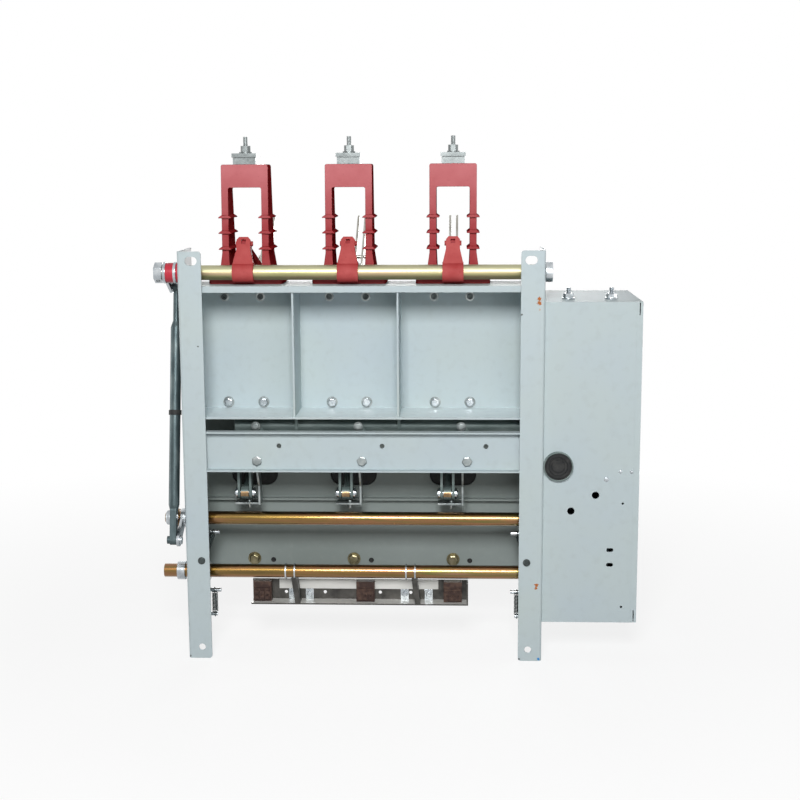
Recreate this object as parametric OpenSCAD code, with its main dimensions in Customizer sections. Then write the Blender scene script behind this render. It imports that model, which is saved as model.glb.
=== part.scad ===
// Indoor three-phase vacuum circuit breaker with isolating and earthing switch, on a steel frame.
// Frame: X to the right, Y away from the front, Z up. The origin lies on the left post's front face,
// on its centre line, level with the feet.

/* [Frame] */
// Height of the two posts
post_h = 840; // [800:5:900]
// Width of a post's front flange
post_w = 48; // [44:1:60]
// Depth of a post from its front face to its back face
post_d = 140; // [136:1:160]
// Distance between the posts' centre lines
post_span = 680; // [670:5:720]
// Thickness of the frame's sheet steel
steel_t = 4; // [3:0.5:5]
// Outside bend radius of the posts
bend_r = 6; // [5:0.5:8]
// Corner radius at the top of a post's front flange
post_corner_r = 6; // [3:0.5:10]
// Length of the fixing slot at the top of each post
slot_len = 24; // [20:1:28]
// Width of that slot
slot_w = 17; // [13:1:18]
// Slot centre below the post's top
slot_drop = 19; // [17:1:24]
// Radius of the fixing hole at the foot of each post
foot_hole_r = 7; // [5:0.5:8]
// Height of that hole above the foot
foot_hole_z = 24; // [20:1:30]
// Distance of the fixing holes inside the posts' centre lines
hole_in = 4; // [0:0.5:6]

/* [Cross members] */
// Top face of the upper channel
channel_top = 770; // [764:1:772]
// Floor of the upper channel
channel_floor = 505; // [500:1:512]
// Front edge of the upper channel
channel_front = 14; // [10:1:18]
// Height of the channel's front lip
channel_lip = 13; // [10:1:18]
// Distance of the ribs' middle from the middle pole
rib_shift = -5; // [-10:1:10]
// Lower edge of the middle beam
beam_z = 394; // [390:1:398]
// Height of the middle beam
beam_h = 82; // [76:1:84]
// Depth of the middle beam
beam_d = 20; // [16:1:24]
// Radius of the holes in the middle beam
beam_hole_r = 5; // [3:0.5:6]
// Seam between the slotted plate and the lower panel
plate_z = 312; // [308:1:314]
// Top of the slotted plate
plate_top = 500; // [470:1:500]
// Length of a pull rod hole
oblong_len = 98; // [90:1:110]
// Height of a pull rod hole
oblong_h = 48; // [44:1:52]
// Middle height of the pull rod holes
oblong_z = 362; // [360:1:366]
// Lower edge of the lower panel
panel_z = 160; // [150:1:164]
// Depth of the lower panel's top lip
panel_lip = 14; // [10:1:20]

/* [Poles] */
// Distance between neighbouring poles
phase = 210; // [206:1:212]
// Position of the middle pole
pole_mid = 312; // [306:1:318]
// Front face of the insulators
ins_y = 80; // [76:1:84]
// Depth of the insulators
ins_d = 85; // [80:1:90]
// Width across an insulator's legs
ins_w = 95; // [90:1:100]
// Height of an insulator
ins_h = 239; // [232:1:246]
// Thickness of an insulator's leg
leg_t = 14; // [12:0.5:17]
// Height of an insulator's head
ins_head = 46; // [40:1:50]
// Width of an insulator's foot
foot_w = 150; // [140:1:160]
// Thickness of an insulator's foot
foot_t = 10; // [8:0.5:11]
// Overhang of an insulator's sheds
shed_out = 6; // [4:0.5:8]

/* [Knives] */
// Distance of the knife hinge behind the channel
hinge_back = 132; // [128:1:140]
// Height of the knife hinge
hinge_z = 730; // [726:1:734]
// Length of a knife blade from hinge to tip
blade_len = 258; // [252:1:262]
// Half the width of a knife blade
blade_half = 14; // [12:0.5:15]
// Thickness of one blade
blade_t = 5; // [4:0.5:6]
// Gap between twin blades
blade_gap = 10.5; // [9.5:0.5:12]
// Angle of the open blades above level
blade_open = 35.4; // [33:0.2:37]
// Angle through which the isolator closes
close_angle = 60; // [50:1:60]
// Radius of the crank straps and of the blades' ears
strap_r = 60; // [58:0.5:62]
// Angle of the straps above level when open
strap_angle = 70; // [68:0.5:72]

/* [Shafts] */
// Distance of the shafts behind the front face
shaft_y = 45; // [44:0.5:50]
// Height of the isolator shaft
iso_z = 795; // [794:0.5:798]
// Radius of the isolator shaft
iso_r = 15; // [14:0.5:15]
// Height of the drive shaft
drive_z = 288; // [284:1:290]
// Height of the earthing shaft
earth_z = 175; // [172:1:178]
// Radius of the drive and earthing shafts
low_r = 14; // [12:0.5:14.5]
// Running clearance of a shaft or pin in its bore
run_gap = 0.05; // [0.02:0.01:0.1]
// Clearance of a piece that is held fast
seat_gap = 0.1; // [0.05:0.05:0.2]
// Radius of the link rod's levers
link_r = 65; // [60:1:68]
// Radius of the link rod's tube
rod_r = 11; // [9:0.5:12]
// Height of the breaker shaft
breaker_z = 478; // [476:0.5:480]
// Distance of the breaker shaft behind the front face
breaker_y = 70; // [66:1:74]
// Length of the breaker shaft's crank arms
crank_len = 142; // [138:1:146]

/* [Earthing bar] */
// Left end of the earthing bar
bar_x = 102; // [96:1:110]
// Length of the earthing bar
bar_len = 452; // [440:1:460]
// Lower edge of the earthing bar below its shaft
bar_drop = 71; // [66:1:74]
// Height of the earthing bar
bar_h = 46; // [42:1:48]
// Depth of the earthing bar
bar_d = 34; // [30:1:36]

/* [Mechanism box] */
// Width of the box
box_w = 181; // [170:1:200]
// Depth of the box
box_d = 260; // [220:1:300]
// Lower face of the box
box_z = 80; // [70:1:90]
// Height of the box
box_h = 658; // [640:1:670]
// Front of the box behind the posts' front face
box_y = 12; // [10:0.5:14]
// Thickness of the box's sheet
box_t = 2.5; // [2:0.5:3]
// Width of the side cover
cover_w = 12; // [10:0.5:16]
// Outside radius of the cable gland
gland_r = 30; // [26:0.5:32]

/* [Hidden] */
$fn = 48;
POLES = [1, 2, 3];

// Frame levels and planes
web_l = -post_w / 2 + steel_t;
web_r = post_span + post_w / 2 - steel_t;
back_y = post_d - steel_t;
web_y = back_y - steel_t;
beam_t = 3;
function pole_x(k) = pole_mid + (k - 2) * phase;

// Knife and strap geometry
hinge_y = back_y + hinge_back;
head_half = 30;
blade_x = blade_gap / 2 + blade_t / 2;
arm_y = strap_r * cos(strap_angle);
arm_z = strap_r * sin(strap_angle);
strap_pin = [shaft_y + arm_y, iso_z + arm_z];
ear_pin = [hinge_y + arm_y, hinge_z + arm_z];
pin_r = 5;
hinge_pin_r = 6;
ear_r = 10;
hub_wall = 5;
link_half = 7;
link_t = 9;
loop_gap = 0.3;
closed_angle = blade_open + close_angle;
tip_closed = [hinge_y + blade_len * cos(closed_angle), hinge_z + blade_len * sin(closed_angle)];

// Link rod geometry: level half of the swing below and half above the shafts
lever_angle = close_angle / 2;
lever_y = link_r * cos(lever_angle);
lever_z = link_r * sin(lever_angle);
rod_top = [shaft_y + lever_y, iso_z - lever_z];
rod_low = [shaft_y - lever_y, drive_z - lever_z];
rod_len = norm(rod_top - rod_low);
rod_tilt = atan2(rod_top[0] - rod_low[0], rod_top[1] - rod_low[1]);
rod_x = web_l - 26;
rod_eye_t = 13;
lever_t = 6;
side_gap = 1;

// Poles behind the channel
head_z = 688;
head_h = 22;
lower_z = 512;
lower_h = 34;
cap_h = 14;
ceramic_r = 42;
ceramic_z0 = lower_z + lower_h + cap_h;
ceramic_z1 = head_z - cap_h;
crank_pin = [breaker_y, breaker_z - crank_len];
bell_pivot = [hinge_y - 33, lower_z - 42];
bell_pin = [bell_pivot[0], bell_pivot[1] - 50];

// Springs and their levers
spring_lever = 30;
earth_lever = 42;
spring_x = post_w / 2 + 1;
spring_y = shaft_y;
stud_z = 209;
stud_x = 8;
hook_z = 81;
spring_r = 6.5;
wire = 1.8;

frame_grey = [0.72, 0.78, 0.80];
epoxy_red = [0.66, 0.17, 0.17];
zinc = [0.75, 0.77, 0.76];
gold_zinc = [0.68, 0.58, 0.28];
aluminium = [0.80, 0.81, 0.82];
copper_silver = [0.82, 0.82, 0.80];

// Round bar along X
module xbar(x0, x1, r, y, z) {
    translate([x0, y, z]) rotate([0, 90, 0]) cylinder(h = x1 - x0, r = r);
}

// Round bar along Y
module ybar(y0, y1, r, x, z) {
    translate([x, y0, z]) rotate([-90, 0, 0]) cylinder(h = y1 - y0, r = r);
}

// Plate across X from a drawing in Y and Z
module side_plate(x0, t) {
    translate([x0, 0, 0]) rotate([90, 0, 90]) linear_extrude(t) children();
}

// Plate across Y from a drawing in X and Z
module front_plate(y0, t) {
    translate([0, y0 + t, 0]) rotate([90, 0, 0]) linear_extrude(t) children();
}

// Flat bar with round ends between two points
module bar_2d(p, q, r) {
    run = q - p;
    translate(p) circle(r);
    translate(q) circle(r);
    translate(p) rotate(atan2(run[1], run[0])) translate([0, -r]) square([norm(run), 2 * r]);
}

// Oblong along X, centred
module oblong_2d(len, w) {
    bar_2d([-(len - w) / 2, 0], [(len - w) / 2, 0], w / 2);
}

// Rectangle with round corners, centred
module rounded_2d(w, d, r) {
    square([w - 2 * r, d], center = true);
    square([w, d - 2 * r], center = true);
    for (x = [-1, 1], y = [-1, 1]) translate([x * (w / 2 - r), y * (d / 2 - r)]) circle(r);
}

// Both ends of the frame, the right one mirrored
module at_right() {
    translate([post_span, 0, 0]) mirror([1, 0, 0]) children();
}

module at_both() {
    children();
    at_right() children();
}

module at_poles() {
    for (k = POLES) translate([pole_x(k), 0, 0]) children();
}

// Section of a post, web on the left, open to the right
module post_2d() {
    difference() {
        translate([0, post_d / 2]) union() {
            rounded_2d(post_w, post_d, bend_r);
            translate([0, -post_d / 2]) square([post_w / 2, post_d]);
        }
        translate([web_l, steel_t]) square([post_w, post_d - 2 * steel_t]);
    }
}

stud_r = 5;

module post(breaker_bore) {
    bore_x0 = -post_w / 2 - 1;
    bore_x1 = web_l + 1;
    color(frame_grey) difference() {
        linear_extrude(post_h) post_2d();
        front_plate(-1, steel_t + 2) translate([hole_in, post_h - slot_drop]) oblong_2d(slot_len, slot_w);
        ybar(-1, steel_t + 1, foot_hole_r, hole_in, foot_hole_z);
        ybar(-1, steel_t + 1, stud_r + seat_gap, stud_x, stud_z);
        xbar(bore_x0, bore_x1, iso_r + run_gap, shaft_y, iso_z);
        xbar(bore_x0, bore_x1, low_r + run_gap, shaft_y, drive_z);
        xbar(bore_x0, bore_x1, low_r + run_gap, shaft_y, earth_z);
        if (breaker_bore) xbar(bore_x0, bore_x1, breaker_r + run_gap, breaker_y, breaker_z);
        for (z = [0, 1]) front_plate(-1, post_d + 2) translate([post_w / 2 - post_corner_r, z * post_h])
            mirror([0, z]) translate([0, post_corner_r]) difference() {
                translate([0, -post_corner_r - 1]) square(post_corner_r + 1);
                circle(post_corner_r);
            }
    }
}

breaker_r = 15;

module left_post() { post(false); }

module right_post() { at_right() post(true); }

module upper_channel() {
    depth = back_y - channel_front;
    color(frame_grey) side_plate(web_l, web_r - web_l) {
        translate([web_y, channel_floor - steel_t]) square([steel_t, channel_top - channel_floor + steel_t]);
        translate([channel_front, channel_top - steel_t]) square([depth, steel_t]);
        translate([channel_front, channel_top - channel_lip]) square([steel_t, channel_lip]);
        translate([channel_front, channel_floor - steel_t]) square([depth, steel_t]);
    }
}

function rib_x(side) = pole_mid + rib_shift + side * phase / 2;

module channel_ribs() {
    front = channel_front + steel_t;
    color(frame_grey) for (side = [-1, 1]) side_plate(rib_x(side) - steel_t / 2, steel_t)
        translate([front, channel_floor]) square([web_y - front, channel_top - steel_t - channel_floor]);
}

beam_hole_x = 67;
beam_hole_z = 51;

module middle_beam() {
    color(frame_grey) difference() {
        side_plate(web_l, web_r - web_l) {
            translate([steel_t, beam_z]) square([beam_d, beam_t]);
            translate([steel_t, beam_z + beam_h - beam_t]) square([beam_d, beam_t]);
            translate([steel_t + beam_d - beam_t, beam_z]) square([beam_t, beam_h]);
        }
        at_poles() ybar(steel_t, steel_t + beam_d + 1, beam_hole_r, beam_hole_x, beam_z + beam_hole_z);
    }
}

module slotted_plate() {
    color(frame_grey) difference() {
        translate([web_l, web_y, plate_z]) cube([web_r - web_l, steel_t, plate_top - plate_z]);
        at_poles() front_plate(web_y - 1, steel_t + 2) translate([0, oblong_z]) oblong_2d(oblong_len, oblong_h);
    }
}

panel_hole_r = 4;
panel_hole_x = 36;
panel_hole_z = 14;

module lower_panel() {
    color(frame_grey) difference() {
        side_plate(web_l, web_r - web_l) {
            translate([web_y, panel_z]) square([steel_t, plate_z - panel_z]);
            translate([web_y - panel_lip, plate_z - steel_t]) square([panel_lip + steel_t, steel_t]);
        }
        at_poles() ybar(web_y - 1, back_y + 1, panel_hole_r, panel_hole_x, panel_z + panel_hole_z);
    }
}

// Mechanism box on the right post
box_x = post_span + post_w / 2;
gland_neck = 20;
gland_at = [30, 327];
box_round = [[106, 267, 7.5], [57, 234, 7.5], [161, 250, 2.5], [162, 33, 2.5]];
box_oblong = [[137, 153], [137, 122]];
shaft_room = 6;

module mechanism_box() {
    color(frame_grey) difference() {
        translate([box_x, box_y, box_z]) cube([box_w, box_d, box_h]);
        translate([box_x + box_t, box_y + box_t, box_z + box_t])
            cube([box_w, box_d - 2 * box_t, box_h - 2 * box_t]);
        translate([box_x, 0, box_z]) {
            ybar(box_y - 1, box_y + box_t + 1, gland_neck + seat_gap, gland_at[0], gland_at[1]);
            for (h = box_round) ybar(box_y - 1, box_y + box_t + 1, h[2], h[0], h[1]);
            front_plate(box_y - 1, box_t + 2) for (h = box_oblong) translate(h) oblong_2d(14, 8);
        }
        xbar(box_x - 1, box_x + box_t + 1, low_r + shaft_room, shaft_y, drive_z);
        xbar(box_x - 1, box_x + box_t + 1, breaker_r + shaft_room, breaker_y, breaker_z);
    }
}

slit_len = 26;

module box_side_cover() {
    x0 = box_x + box_w;
    color(frame_grey) difference() {
        translate([x0, box_y, box_z]) cube([cover_w, box_d, box_h]);
        translate([x0 - 1, box_y + box_t, box_z + box_t])
            cube([cover_w - box_t + 1, box_d - 2 * box_t, box_h - 2 * box_t]);
        for (z = [box_z - 1, box_z + box_h - slit_len])
            translate([x0 + cover_w / 2 - 1, box_y - 1, z]) cube([2, box_t + 2, slit_len + 1]);
    }
}

gland_t = 8;

module cable_gland() {
    dish_r = gland_r - 7;
    color([0.08, 0.08, 0.09]) translate([box_x, 0, box_z]) difference() {
        union() {
            ybar(box_y - gland_t, box_y, gland_r, gland_at[0], gland_at[1]);
            ybar(box_y - 1, box_y + box_t + gland_t, gland_neck, gland_at[0], gland_at[1]);
        }
        difference() {
            ybar(box_y - gland_t - 1, box_y - 3, dish_r, gland_at[0], gland_at[1]);
            ybar(box_y - gland_t + 2, box_y - 2, dish_r - 6, gland_at[0], gland_at[1]);
        }
    }
}

// A-frame insulator: two ribbed legs that deepen towards a foot on the channel, and a solid head
ins_top = channel_top + ins_h;
ins_neck = ins_top - ins_head;
flare_z = channel_top + 62;
flare_out = 9;
flare_in = 3;
shed_rise = [71, 103, 134];
shed_h = 6;
cast_r = 4;
foot_y0 = ins_y - 14;
foot_y1 = ins_y + ins_d + 12;

// Outline with rounded upper corners: half width at the foot and above the flare, height
module arch_2d(foot_half, half, top) {
    polygon([[-foot_half, channel_top - 1], [-half, flare_z], [-half, top - cast_r],
             [half, top - cast_r], [half, flare_z], [foot_half, channel_top - 1]]);
    translate([cast_r - half, top - cast_r - 1]) square([2 * (half - cast_r), cast_r + 1]);
    for (side = [-1, 1]) translate([side * (half - cast_r), top - cast_r]) circle(cast_r);
}

module insulator_front_2d() {
    inner = ins_w / 2 - leg_t;
    difference() {
        arch_2d(ins_w / 2 + flare_out, ins_w / 2, ins_top);
        arch_2d(inner - flare_in, inner, ins_neck);
    }
}

function leg_front(z) = ins_y - 8 + 12 * (z - channel_top) / ins_h;
function leg_back(z) = ins_y + ins_d + 8 - 39 * (z - channel_top) / ins_h;

module shed_2d(x0, x1, z) {
    polygon([[x0 - shed_out, z - 2], [x1 + shed_out, z - 2], [x1 + shed_out, z],
             [x1, z + shed_h - 2], [x0, z + shed_h - 2], [x0 - shed_out, z]]);
}

module insulator(k) {
    outer = ins_w / 2;
    color(epoxy_red) translate([pole_x(k), 0, 0]) {
        intersection() {
            front_plate(ins_y - 20, ins_d + 40) insulator_front_2d();
            side_plate(-foot_w, 2 * foot_w) polygon([
                [leg_front(channel_top), channel_top], [leg_front(ins_top), ins_top],
                [leg_back(ins_top), ins_top], [leg_back(channel_top), channel_top]]);
        }
        translate([0, (foot_y0 + foot_y1) / 2, channel_top])
            linear_extrude(foot_t) rounded_2d(foot_w, foot_y1 - foot_y0, 2 * cast_r);
        for (side = [0, 1], rise = shed_rise) mirror([side, 0, 0]) {
            y0 = leg_front(channel_top + rise) - shed_out;
            y1 = leg_back(channel_top + rise) + shed_out;
            front_plate(y0, y1 - y0) shed_2d(outer - leg_t, outer, channel_top + rise);
        }
    }
}

// Top terminal with its contact tongue for the knife
contact_gap = 0.75;
term_block = 14;
term_plate = 8;
term_stud_r = 4.5;

module top_terminals() {
    tongue_t = blade_gap - 2 * contact_gap;
    mid_y = (leg_front(ins_top) + leg_back(ins_top)) / 2;
    stud_z0 = ins_top + term_block + term_plate;
    color(aluminium) at_poles() {
        translate([-23, mid_y - 22, ins_top]) cube([46, 44, term_block]);
        translate([-25, mid_y - 26, ins_top + term_block]) cube([50, 52, term_plate]);
        translate([0, mid_y, stud_z0 - 1]) cylinder(h = 34, r = term_stud_r);
        translate([0, mid_y, stud_z0 + 3]) cylinder(h = 12, r = 10, $fn = 6);
        translate([0, mid_y, stud_z0]) cylinder(h = 3, r = 13);
        translate([-15, mid_y, ins_top]) cube([30, tip_closed[0] + 20 - mid_y, 10]);
        side_plate(-tongue_t / 2, tongue_t) translate([tip_closed[0] - 18, tip_closed[1] - 38])
            square([36, ins_top + 1 - tip_closed[1] + 38]);
    }
}

// Horizontal ribbed support from the channel's back to a pole head
support_base = 14;
support_r = 24;

module support(z, base_z0, base_z1) {
    y0 = back_y + support_base;
    run = hinge_y - head_half - y0;
    step = run / 4;
    translate([-55, back_y, base_z0]) cube([110, support_base, base_z1 - base_z0]);
    translate([0, y0 - 1, z]) rotate([-90, 0, 0]) rotate_extrude() polygon(concat(
        [[0, 0], [support_r + 5, 0], [support_r + 3, 8]],
        [for (i = [0:2], p = [[0, -5], [10, -1], [10, 2], [0, 6]])
            [support_r + p[0], step * (i + 0.9) + p[1] + 1]],
        [[support_r - 2, run + 1], [0, run + 1]]));
}

module upper_supports() {
    color(epoxy_red) at_poles() support(head_z + head_h / 2, head_z - 12, channel_top - 6);
}

module lower_supports() {
    color(epoxy_red) at_poles() support(lower_z + lower_h / 2, channel_floor - 1, lower_z + lower_h + 14);
}

module interrupter(k) {
    r = ceramic_r;
    mid = (ceramic_z0 + ceramic_z1) / 2;
    color([0.90, 0.89, 0.85]) translate([pole_x(k), hinge_y, 0]) rotate_extrude() polygon([
        [0, ceramic_z0], [r - 4, ceramic_z0], [r, ceramic_z0 + 5], [r, mid - 7], [r + 3, mid - 5],
        [r + 3, mid + 5], [r, mid + 7], [r, ceramic_z1 - 5], [r - 4, ceramic_z1], [0, ceramic_z1]]);
}

tongue_play = 0.5;

module hinge_heads() {
    tongue_t = blade_gap - 2 * tongue_play;
    color(aluminium) at_poles() difference() {
        union() {
            translate([-head_half, hinge_y - head_half, head_z]) cube([2 * head_half, 2 * head_half, head_h]);
            translate([0, hinge_y, ceramic_z1]) cylinder(h = cap_h, r = head_half - 2);
            side_plate(-tongue_t / 2, tongue_t) bar_2d([hinge_y, head_z + head_h - 2], [hinge_y, hinge_z], 13);
        }
        xbar(-tongue_t, tongue_t, hinge_pin_r + run_gap, hinge_y, hinge_z);
    }
}

clevis_x = -11;
crank_half = 6;
cheek_in = 9;
cheek_t = 6;
cheek_r = 10;
pad_len = 80;
pad_hole_r = 6.5;
stem_r = 8;
bell_r = 9;

module lower_heads() {
    color(aluminium) at_poles() difference() {
        union() {
            translate([-head_half, hinge_y - head_half, lower_z]) cube([2 * head_half, 2 * head_half, lower_h]);
            translate([0, hinge_y, lower_z + lower_h]) cylinder(h = cap_h, r = head_half - 2);
            translate([-25, hinge_y, lower_z + 12]) cube([50, head_half + pad_len, 8]);
            for (side = [-1, 1]) side_plate(clevis_x + side * (cheek_in + cheek_t / 2) - cheek_t / 2, cheek_t)
                bar_2d([hinge_y - 14, lower_z + 4], bell_pivot, cheek_r);
            xbar(clevis_x - cheek_in - 1, clevis_x + cheek_in + 1, pin_r, bell_pivot[0], bell_pivot[1]);
            translate([clevis_x, hinge_y, bell_pivot[1] + bell_r + loop_gap])
                cylinder(h = lower_z - bell_pivot[1] - bell_r, r = stem_r);
        }
        translate([0, hinge_y + head_half + pad_len - 25, lower_z]) cylinder(h = lower_h, r = pad_hole_r);
    }
}

module bell_cranks() {
    color(zinc) at_poles() difference() {
        side_plate(clevis_x - crank_half, 2 * crank_half) {
            bar_2d(bell_pivot, [hinge_y, bell_pivot[1]], bell_r);
            bar_2d(bell_pivot, bell_pin, bell_r);
        }
        for (p = [bell_pivot, bell_pin])
            xbar(clevis_x - crank_half - 1, clevis_x + crank_half + 1, pin_r + run_gap, p[0], p[1]);
    }
}

// Insulating rod from a crank's clevis through the slotted plate to a bell crank
eye_half = 8;
clevis_pin_r = 7;

module pull_rods() {
    run = bell_pin - crank_pin;
    len = norm(run);
    fork_in = crank_half + side_gap;
    color(epoxy_red) at_poles() translate([clevis_x, 0, 0]) difference() {
        union() {
            xbar(-eye_half, eye_half, 14, crank_pin[0], crank_pin[1]);
            translate([0, crank_pin[0], crank_pin[1]]) rotate([atan2(run[1], run[0]) - 90, 0, 0]) {
                cylinder(h = len - 24, r = eye_half - 1);
                translate([-fork_in - 4, -7, len - 28]) cube([2 * fork_in + 8, 14, 8]);
            }
            for (side = [-1, 1]) side_plate(side * (fork_in + 2.5) - 2.5, 5)
                bar_2d(bell_pin - run / len * 22, bell_pin, 9);
            xbar(-fork_in - 1, fork_in + 1, pin_r, bell_pin[0], bell_pin[1]);
        }
        xbar(-eye_half - 1, eye_half + 1, clevis_pin_r + run_gap, crank_pin[0], crank_pin[1]);
    }
}

arm_t = 5;
arm_half = 13;
arm_in = eye_half + 1.5;
breaker_x0 = pole_x(1) - 28;
boss_x = 17;

module breaker_shaft() {
    boss_z = breaker_z + 3;
    boss_y = breaker_y - breaker_r;
    color(zinc) difference() {
        union() {
            xbar(breaker_x0, box_x + 16, breaker_r, breaker_y, breaker_z);
            at_poles() {
                for (side = [-1, 1]) side_plate(clevis_x + side * (arm_in + arm_t / 2) - arm_t / 2, arm_t)
                    bar_2d([breaker_y, breaker_z], crank_pin, arm_half);
                ybar(boss_y - 8, boss_y + 6, 8, boss_x, boss_z);
                front_plate(boss_y - 3, 6) bar_2d([boss_x, boss_z], [boss_x + 20, boss_z - 30], 7);
            }
        }
        at_poles() xbar(clevis_x - 20, clevis_x + 20, clevis_pin_r + run_gap, crank_pin[0], crank_pin[1]);
    }
}

hanger_t = 6;
hanger_r = breaker_r + 7;

module shaft_hangers() {
    top = channel_floor - steel_t;
    color(frame_grey) for (side = [-1, 1]) difference() {
        side_plate(rib_x(side) - hanger_t / 2, hanger_t) {
            translate([breaker_y, breaker_z]) circle(hanger_r);
            translate([breaker_y - hanger_r, breaker_z]) square([2 * hanger_r, top - breaker_z]);
        }
        xbar(rib_x(side) - hanger_t, rib_x(side) + hanger_t, breaker_r + run_gap, breaker_y, breaker_z);
    }
}

module clevis_pins() {
    face = arm_in + arm_t + seat_gap;
    color(gold_zinc) at_poles() translate([clevis_x, 0, 0]) {
        xbar(-face - 7, face + 7, clevis_pin_r, crank_pin[0], crank_pin[1]);
        for (x = [-face - 5, face]) xbar(x, x + 5, 11, crank_pin[0], crank_pin[1]);
    }
}

stop_x = 18;
stop_t = 4;

module stop_brackets() {
    y0 = steel_t + beam_d;
    foot_z = crank_pin[1] - arm_half - 9;
    foot_x0 = clevis_x - 20;
    color(zinc) at_poles() {
        side_plate(stop_x, stop_t) polygon([[y0, beam_z + 42], [y0, beam_z + 2],
            [breaker_y - 18, foot_z + 40], [breaker_y - 18, foot_z], [breaker_y + 18, foot_z],
            [breaker_y + 18, foot_z + 24], [y0 + 16, beam_z + 42]]);
        translate([foot_x0, breaker_y - 14, foot_z]) cube([stop_x + stop_t - foot_x0, 28, stop_t]);
        translate([-3, breaker_y, foot_z - 10]) cylinder(h = 17, r = 4);
    }
}

// Studs on the posts that hold the springs' fixed ends
module spring_studs() {
    color(zinc) at_both() {
        ybar(1, spring_y + 8, stud_r, stud_x, stud_z);
        ybar(steel_t, steel_t + 6, stud_r + 4, stud_x, stud_z);
        xbar(web_l, spring_x + 5, 4, spring_y, hook_z);
    }
}

lever_pin_r = 4;
lever_x0 = 6;
lever_plate = 5;

// Close-wound extension spring between two pins that lie in X and Z
module spring(top, low, low_along_y, eye_r) {
    run = low - top;
    len = norm(run);
    neck = spring_r * abs(run[0]) / len;
    s0 = lever_pin_r + loop_gap + wire / 2 + neck;
    s1 = len - eye_r - loop_gap - wire / 2;
    turns = floor((s1 - s0) / wire);
    pitch = (s1 - s0) / turns;
    translate([top[0], spring_y, top[1]]) rotate([0, atan2(-run[0], -run[1]) + 180, 0])
        translate([0, 0, s0]) rotate_extrude() polygon(concat(
            neck > 0 ? [[0, -neck], [wire, -neck], [wire, 0]] : [[0, 0]],
            [for (i = [0:turns - 1], p = [[-wire / 2, 0.02], [0, 0.35], [0, 0.65], [-wire / 2, 0.98]])
                [spring_r + p[0], (i + p[1]) * pitch]], [[0, s1 - s0]]));
    difference() {
        xbar(top[0] - wire / 2, top[0] + wire / 2, lever_pin_r + loop_gap + wire, spring_y, top[1]);
        xbar(top[0] - wire, top[0] + wire, lever_pin_r + loop_gap, spring_y, top[1]);
    }
    difference() {
        if (low_along_y) ybar(spring_y - wire / 2, spring_y + wire / 2, eye_r + loop_gap + wire, low[0], low[1]);
        else xbar(low[0] - wire / 2, low[0] + wire / 2, eye_r + loop_gap + wire, spring_y, low[1]);
        if (low_along_y) ybar(spring_y - wire, spring_y + wire, eye_r + loop_gap, low[0], low[1]);
        else xbar(low[0] - wire, low[0] + wire, eye_r + loop_gap, spring_y, low[1]);
    }
}

module drive_springs() {
    color(zinc) at_both() spring([spring_x, drive_z - spring_lever], [stud_x, stud_z], true, stud_r);
}

module earth_springs() {
    color(zinc) at_both() spring([spring_x, earth_z - earth_lever], [spring_x, hook_z], false, 4);
}

// Isolator shaft with its end nut and collar
nut_x = rod_x - rod_eye_t / 2 - side_gap - lever_t - 2;
nut_t = 16;
collar_t = 14;

module isolator_shaft() {
    right = box_x + 2;
    color(gold_zinc) {
        xbar(nut_x - nut_t, right + collar_t, iso_r, shaft_y, iso_z);
        translate([nut_x - nut_t, shaft_y, iso_z]) rotate([0, 90, 0]) cylinder(h = nut_t - seat_gap, r = 21, $fn = 6);
        xbar(right, right + collar_t, iso_r + 5, shaft_y, iso_z);
    }
}

strap_w = 42;
strap_arm_w = 28;
strap_skin = 4;
slot_from = iso_r + 10;

// Crank strap clamped on the isolator shaft: tapered, forked for its pull link, closed at the front
module crank_strap(k) {
    half = strap_arm_w / 2;
    foot_half = strap_w / 2 - 1;
    slot_half = link_t / 2 + 1.5;
    skin_in = ear_r + 0.5;
    color(epoxy_red) translate([pole_x(k), 0, 0]) difference() {
        union() {
            xbar(-strap_w / 2, strap_w / 2, iso_r + hub_wall, shaft_y, iso_z);
            translate([0, shaft_y, iso_z]) rotate([strap_angle, 0, 0]) difference() {
                translate([0, 0, -ear_r]) linear_extrude(ear_r + skin_in + strap_skin) polygon([
                    [-foot_half, 0], [-foot_half, iso_r + 2], [-half, strap_r - 16], [-half, strap_r + 4],
                    [5 - half, strap_r + ear_r], [half - 5, strap_r + ear_r], [half, strap_r + 4],
                    [half, strap_r - 16], [foot_half, iso_r + 2], [foot_half, 0]]);
                translate([-slot_half, slot_from, -ear_r - 1]) cube([2 * slot_half, strap_r, ear_r + 1 + skin_in]);
                translate([-link_t / 2, strap_r - link_t / 2, 0]) cube([link_t, link_t, 2 * ear_r]);
            }
            xbar(-half - 3, half + 3, pin_r, strap_pin[0], strap_pin[1]);
        }
        xbar(-strap_w, strap_w, iso_r + run_gap, shaft_y, iso_z);
    }
}

lever_half = 13;

// Forked lever at the shaft's left end
module end_lever() {
    in = rod_eye_t / 2 + side_gap;
    out = in + lever_t;
    color(epoxy_red) translate([rod_x, 0, 0]) difference() {
        union() {
            xbar(-out, out, 20, shaft_y, iso_z);
            for (x = [-out, in]) side_plate(x, lever_t) bar_2d([shaft_y, iso_z], rod_top, lever_half);
            xbar(-out - 3, out + 3, pin_r, rod_top[0], rod_top[1]);
        }
        xbar(-out - 1, out + 1, iso_r + run_gap, shaft_y, iso_z);
    }
}

// Insulating links from the straps to the knives' ears
module pull_links() {
    color(epoxy_red) at_poles() difference() {
        side_plate(-link_t / 2, link_t) {
            bar_2d(strap_pin, ear_pin, link_half);
            translate(strap_pin) circle(ear_r - 1);
            translate(ear_pin) circle(ear_r);
        }
        xbar(-link_t, link_t, pin_r + run_gap, strap_pin[0], strap_pin[1]);
        xbar(-link_t, link_t, pin_r + loop_gap, ear_pin[0], ear_pin[1]);
    }
}

rod_flat_r = 12;
rod_tube = [72, 435];
rod_neck_r = 6.5;
rod_joint = 255;

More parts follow.
